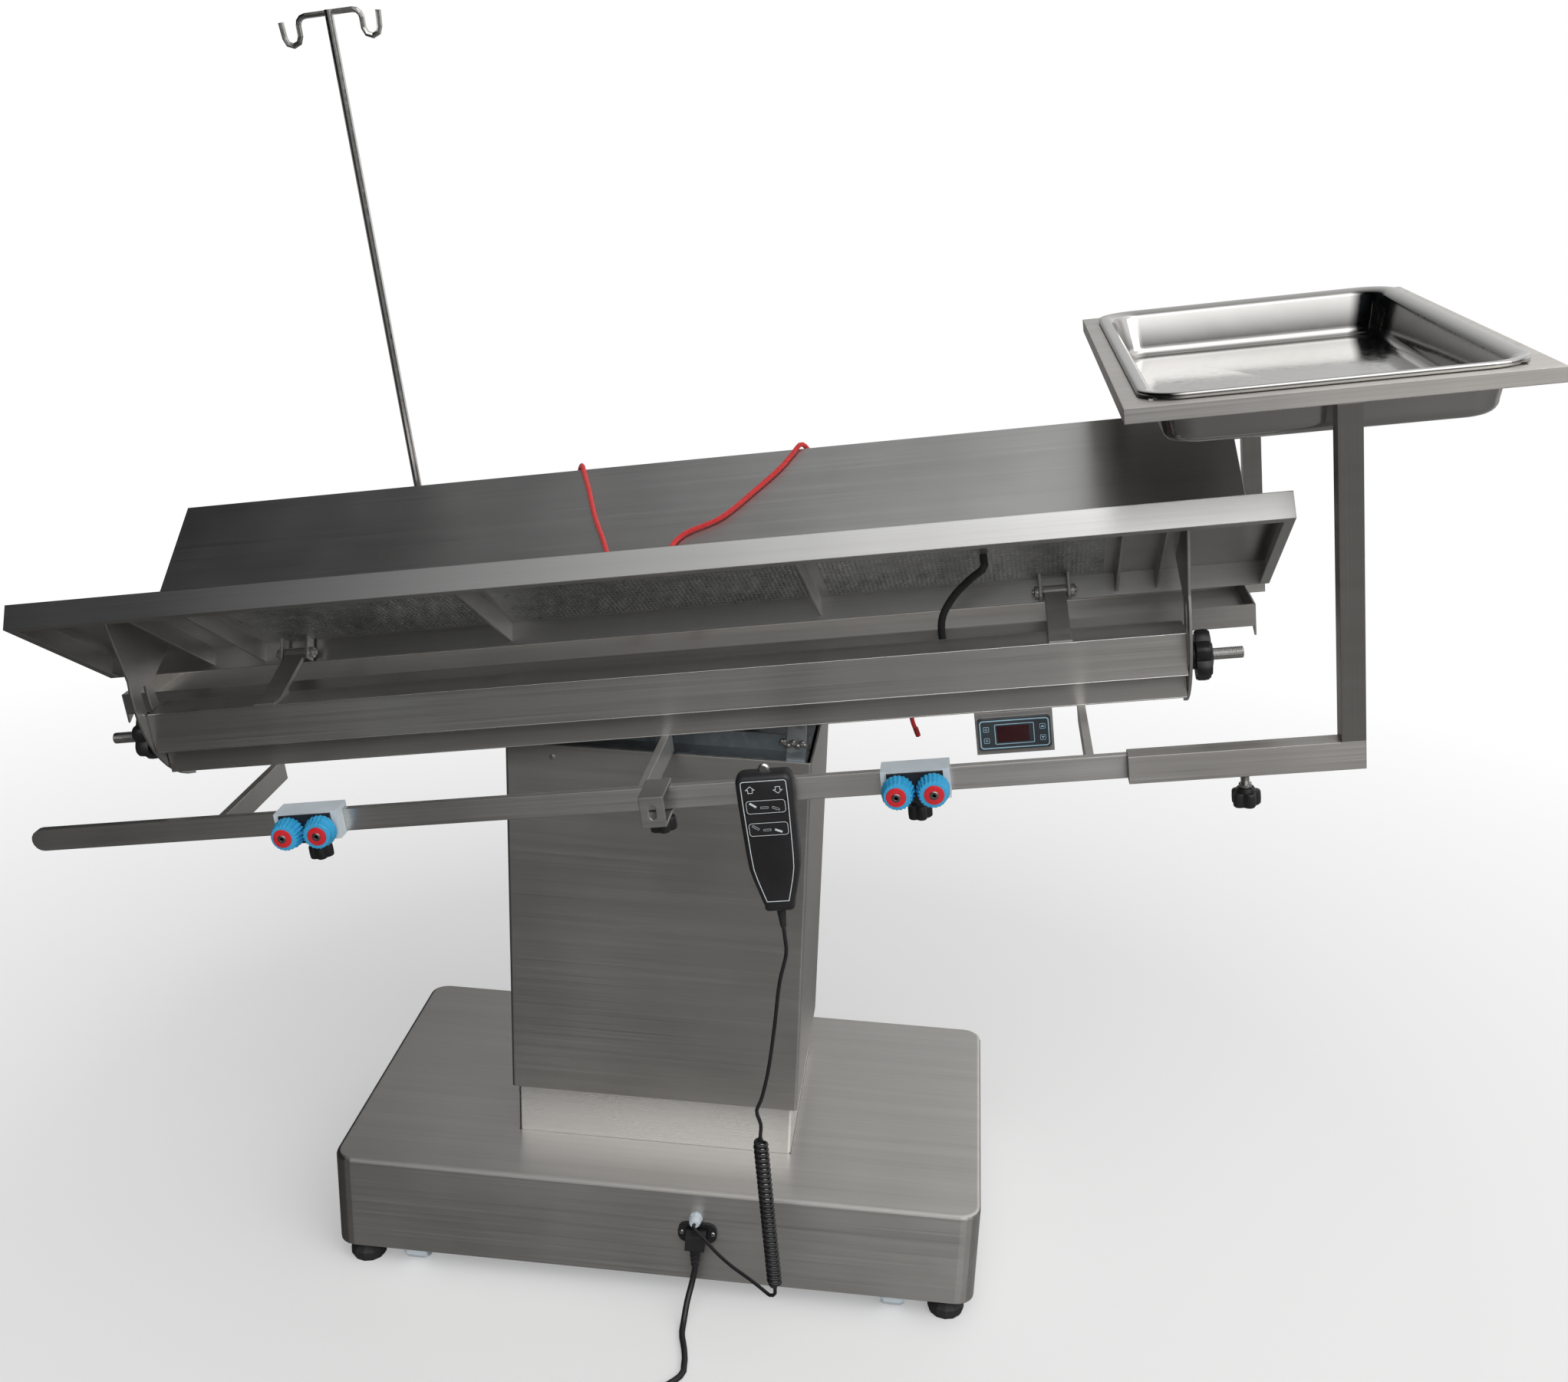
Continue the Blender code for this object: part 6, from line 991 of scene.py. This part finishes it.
# heating foils under the panels
def foil(word, side, place):
    columns, rows = 70, 18
    inner, outer = 0.012, 0.184
    for index, (a, b) in enumerate(((-0.448, -0.182), (-0.16, 0.166), (0.188, 0.48))):
        bm = bmesh.new()
        verts = []
        for i in range(columns + 1):
            line = []
            for j in range(rows + 1):
                u = a + (b - a) * i / columns
                s = inner + (outer - inner) * j / rows
                ripple = 0.0004 * sin(u * 310.0 + 3.0 * sin(s * 41.0 + index))
                ripple += (0.0005 * sin(u * 57.0 + s * 73.0 + index * 2.0)
                        * sin(s * 120.0 - u * 33.0))
                ripple *= min(1.0, min(i, columns - i, j, rows - j) / 3)
                wave = 0.0035 * sin(i * 0.9 + index) * (1 if j in (0, rows) else 0)
                line.append(bm.verts.new((u, side * (s - HINGE_INSET + wave),
                        HINGE_DEPTH - 0.0018 - 0.0011 - ripple)))
            verts.append(line)
        for one, two in zip(verts, verts[1:]):
            for j in range(rows):
                bm.faces.new((one[j], two[j], two[j + 1], one[j + 1]))
        geometry = bmesh.ops.extrude_face_region(bm, geom=list(bm.faces))
        for vert in [g for g in geometry["geom"] if isinstance(g, bmesh.types.BMVert)]:
            vert.co.z += 0.0006
        finish_piece(f"{word}_foil_{index + 1}", bm, FOIL, f"{word}_panel", place, 60.0)


foil("near", -1, NEAR)
foil("far", 1, FAR)


# fasteners, welds and small trim
def hex_nuts():
    for word, place in (("near", NEAR), ("far", FAR)):
        lofts = []
        for hinge in (-0.418, 0.428):
            for end in (-1, 1):
                base = hinge + end * (0.012 + 0.0015 + 0.003)
                nut = [(0.0056, base), (0.0064, base + end * 0.0005), (0.0064, base + end * 0.0043),
                       (0.0054, base + end * 0.005)]
                tip = [(0.003, base), (0.003, base + end * 0.0066), (0.0024, base + end * 0.0072)]
                lofts += [turned(nut, "X", 6), turned(tip, "X", 18)]
        piece(f"{word}_hinge_nuts", ZINC, f"{word}_panel", place, *lofts, smooth=20.0)


def painted_edge_highlights():
    """The bright radius along each beam's folds, thin polished rods: a painted highlight for the light
    caught on the bent edges.
    """
    for word, side in (("near", -1), ("far", 1)):
        lofts = [[ring(0.00075, u, "X", 12, (side * y, z)) for u in (-0.5518, 0.5518)]
                for y, z in ((0.1716, -0.0103), (0.1716, 0.0336), (0.1496, -0.0413))]
        # polished rods brighter than the beam: painted highlight on the folds
        piece(f"{word}_beam_edge_highlights", POLISHED, "table_frame", TABLE, *lofts, smooth=60.0)


def dome_screws():
    def dome(base, way, axis, centre):
        return turned([(0.0034, base), (0.0034, base + way * 0.0005), (0.0028, base + way * 0.0014),
                (0.0014, base + way * 0.0019)], axis, 20, centre)

    lofts = [dome(side * 0.1215, side, "Y", spot) for side in (-1, 1)
            for spot in ((-0.128, 0.631), (0.102, 0.633))]
    lofts += [dome(COLUMN_X - COLUMN_HALF, -1, "X", (y, z)) for y in (-0.06, 0.06) for z in (0.565, 0.3)]
    piece("sleeve_screws", ZINC, "lift", BASE, *lofts)


def inlet_details():
    y = INLET_Y
    screw = [(0.003, y + 0.0004), (0.003, y - 0.0004), (0.0024, y - 0.0012), (0.001, y - 0.0016)]
    piece("inlet_screws", ZINC, "base", BASE,
          *[turned(screw, "Y", 20, (INLET_X + shift, INLET_Z)) for shift in (-0.0178, 0.0178)])
    y = -0.205 - GAP
    nut = [(0.0076, y - 0.0002), (0.0079, y - 0.0012), (0.0079, y - 0.0048), (0.007, y - 0.0058)]
    dome = [(0.0068, y - 0.0052), (0.0069, y - 0.0086), (0.0062, y - 0.0118), (0.0049, y - 0.0141),
            (0.0028, y - 0.0143)]
    piece("cord_gland", NYLON, "base", BASE, turned(nut, "Y", 8, (GLAND_X, GLAND_Z)),
          turned(dome, "Y", 32, (GLAND_X, GLAND_Z)), smooth=25.0)


def weld_beads():
    """Rough fillet beads where the lug and the arms are welded."""
    def bead(bm, place, radius, detail):
        made = bmesh.ops.create_icosphere(bm, subdivisions=detail, radius=radius)
        bmesh.ops.translate(bm, vec=place, verts=made["verts"])

    bm = bmesh.new()
    right = COLUMN_X + COLUMN_HALF - 0.0025 - 0.005
    for k in range(30):
        wobble = 0.0007 * sin(k * 2.3) + 0.0005 * sin(k * 5.1)
        lift = 0.0016 * sin(k * 1.7) + 0.0022 * sin(k * 0.55)
        bead(bm, (right - 0.0275 + 0.0265 * k / 29, -0.1158 - 0.0004 * sin(k), 0.664 + lift),
             0.0027 + wobble, 2)
    finish_piece("lug_weld", bm, WELD, "lift", BASE, 50.0, "galvanised_steel")
    for word, side in (("front", -1), ("rear", 1)):
        bm = bmesh.new()
        for u in (-0.432, 0.007, 0.445):
            for end in (-1, 1):
                if (word, u, end) == ("rear", -0.432, 1):
                    continue  # the pole's foot slides up to this arm
                for k in range(9):
                    bead(bm, (u + end * 0.0046, side * (RAIL_BACK - 0.0008),
                              RAIL_W - 0.009 + 0.018 * k / 8),
                         0.0014 + 0.0003 * sin(k * 1.9 + u * 50.0), 1)
        finish_piece(f"{word}_arm_welds", bm, WELD, "table_frame", TABLE, 50.0)


hex_nuts()
painted_edge_highlights()
dome_screws()
inlet_details()
weld_beads()


# floor, world and lamp
def make_stage():
    """A pale floor: the camera sees it fade to white, and mirrors see it dark."""
    span, level = 14.0, -0.0004
    mesh = bpy.data.meshes.new("floor")
    mesh.from_pydata([(-span, -span, level), (span, -span, level), (span, span, level),
            (-span, span, level)], [], [(0, 1, 2, 3)])
    floor = add_object("floor", mesh)
    n = Nodes("pale_floor")
    mesh.materials.append(n.owner)
    n.set(Roughness=0.75, Base_Color=(0.86, 0.86, 0.86, 1.0))
    glossy, seen = n.rays()
    parts = n.parts(n.place())
    flat = n.add("ShaderNodeCombineXYZ", {"X": parts["X"], "Y": parts["Y"]}).outputs[0]
    away = n.add("ShaderNodeVectorMath", {0: flat}, operation="LENGTH").outputs["Value"]
    white = n.maths("MULTIPLY", seen, n.spread(away, 0.9, 2.4, 0.3, 1.0))
    dark = n.maths("MULTIPLY", glossy, n.maths("MULTIPLY", n.spread(parts["X"], -1.4, 1.6, 1.0, 0.75),
            n.spread(parts["Y"], 0.7, 2.0, 1.0, 0.55)))
    glow = n.add("ShaderNodeEmission", {"Color": (1.0, 1.0, 1.0, 1.0), "Strength": 1.0})
    shade = n.add("ShaderNodeEmission", {"Color": (0.05, 0.048, 0.045, 1.0), "Strength": 1.0})
    pale = n.add("ShaderNodeMixShader", {0: white, 1: n.shader.outputs[0], 2: glow.outputs[0]})
    total = n.add("ShaderNodeMixShader", {0: dark, 1: pale.outputs[0], 2: shade.outputs[0]})
    n.tree.links.new(total.outputs[0], n.tree.nodes["Material Output"].inputs["Surface"])


def make_world():
    """A workshop: dark to the left and low down, bright to the right and overhead."""
    world = bpy.data.worlds.new("studio")
    bpy.context.scene.world = world
    w = Nodes(world)
    direction = w.add("ShaderNodeTexCoord").outputs["Generated"]
    parts = w.parts(direction)
    across = w.ramp(w.spread(parts["X"], -1.0, 1.0, 0.0, 1.0), (0.22, (0.015, 0.017, 0.02)),
            (0.72, (2.3, 2.3, 2.3)), (0.78, (1.4, 1.4, 1.39)))
    corner = w.add("ShaderNodeVectorMath", {0: direction, 1: (-0.6, 0.15, 0.78)},
            operation="DOT_PRODUCT").outputs["Value"]
    front = w.maths("MULTIPLY", w.spread(parts["Y"], -0.7, 0.1, 2.0, 0.7),
            w.maths("MULTIPLY", w.spread(parts["Z"], 0.2, 0.7, 0.06, 1.0),
                    w.spread(corner, 0.66, 0.98, 1.0, 0.06)))
    rear = w.spread(parts["Z"], 0.0, 0.35, 0.32, 0.5)
    level = w.even(w.spread(parts["Y"], 0.1, 0.5, 0.0, 1.0), front, rear)
    scaled = w.add("ShaderNodeVectorMath", {0: across, "Scale": level}, operation="SCALE")
    most = w.spread(parts["X"], 0.22, 0.42, 2.6, 1.15)
    shade = w.add("ShaderNodeVectorMath", {0: scaled.outputs[0], 1: most}, operation="MINIMUM")
    glossy, seen = w.rays()
    open_side = w.maths("MULTIPLY", glossy,
            w.maths("MULTIPLY", w.spread(parts["X"], 0.4, 0.8, 0.0, 1.0),
                    w.spread(parts["Y"], 0.0, 0.6, 0.0, 1.0)))
    white = w.mix(w.maths("MAXIMUM", seen, open_side), shade.outputs[0], (1.0, 1.0, 1.0))
    back = w.tree.nodes["Background"]
    w.tree.links.new(white, back.inputs["Color"])
    back.inputs["Strength"].default_value = 1.0


def key_lamp():
    data = bpy.data.lights.new("key", "AREA")
    data.shape = "RECTANGLE"
    data.size = data.size_y = 2.6
    data.energy = 38.0
    data.color = (1.0, 0.985, 0.96)
    made = add_object("key", data)
    place = Vector((2.6, -2.8, 3.2))
    made.location = place
    made.rotation_euler = (Vector((0.0, 0.0, 0.6)) - place).to_track_quat("-Z", "Y").to_euler()


make_stage()
make_world()
key_lamp()
bpy.context.scene.view_settings.view_transform = "Standard"
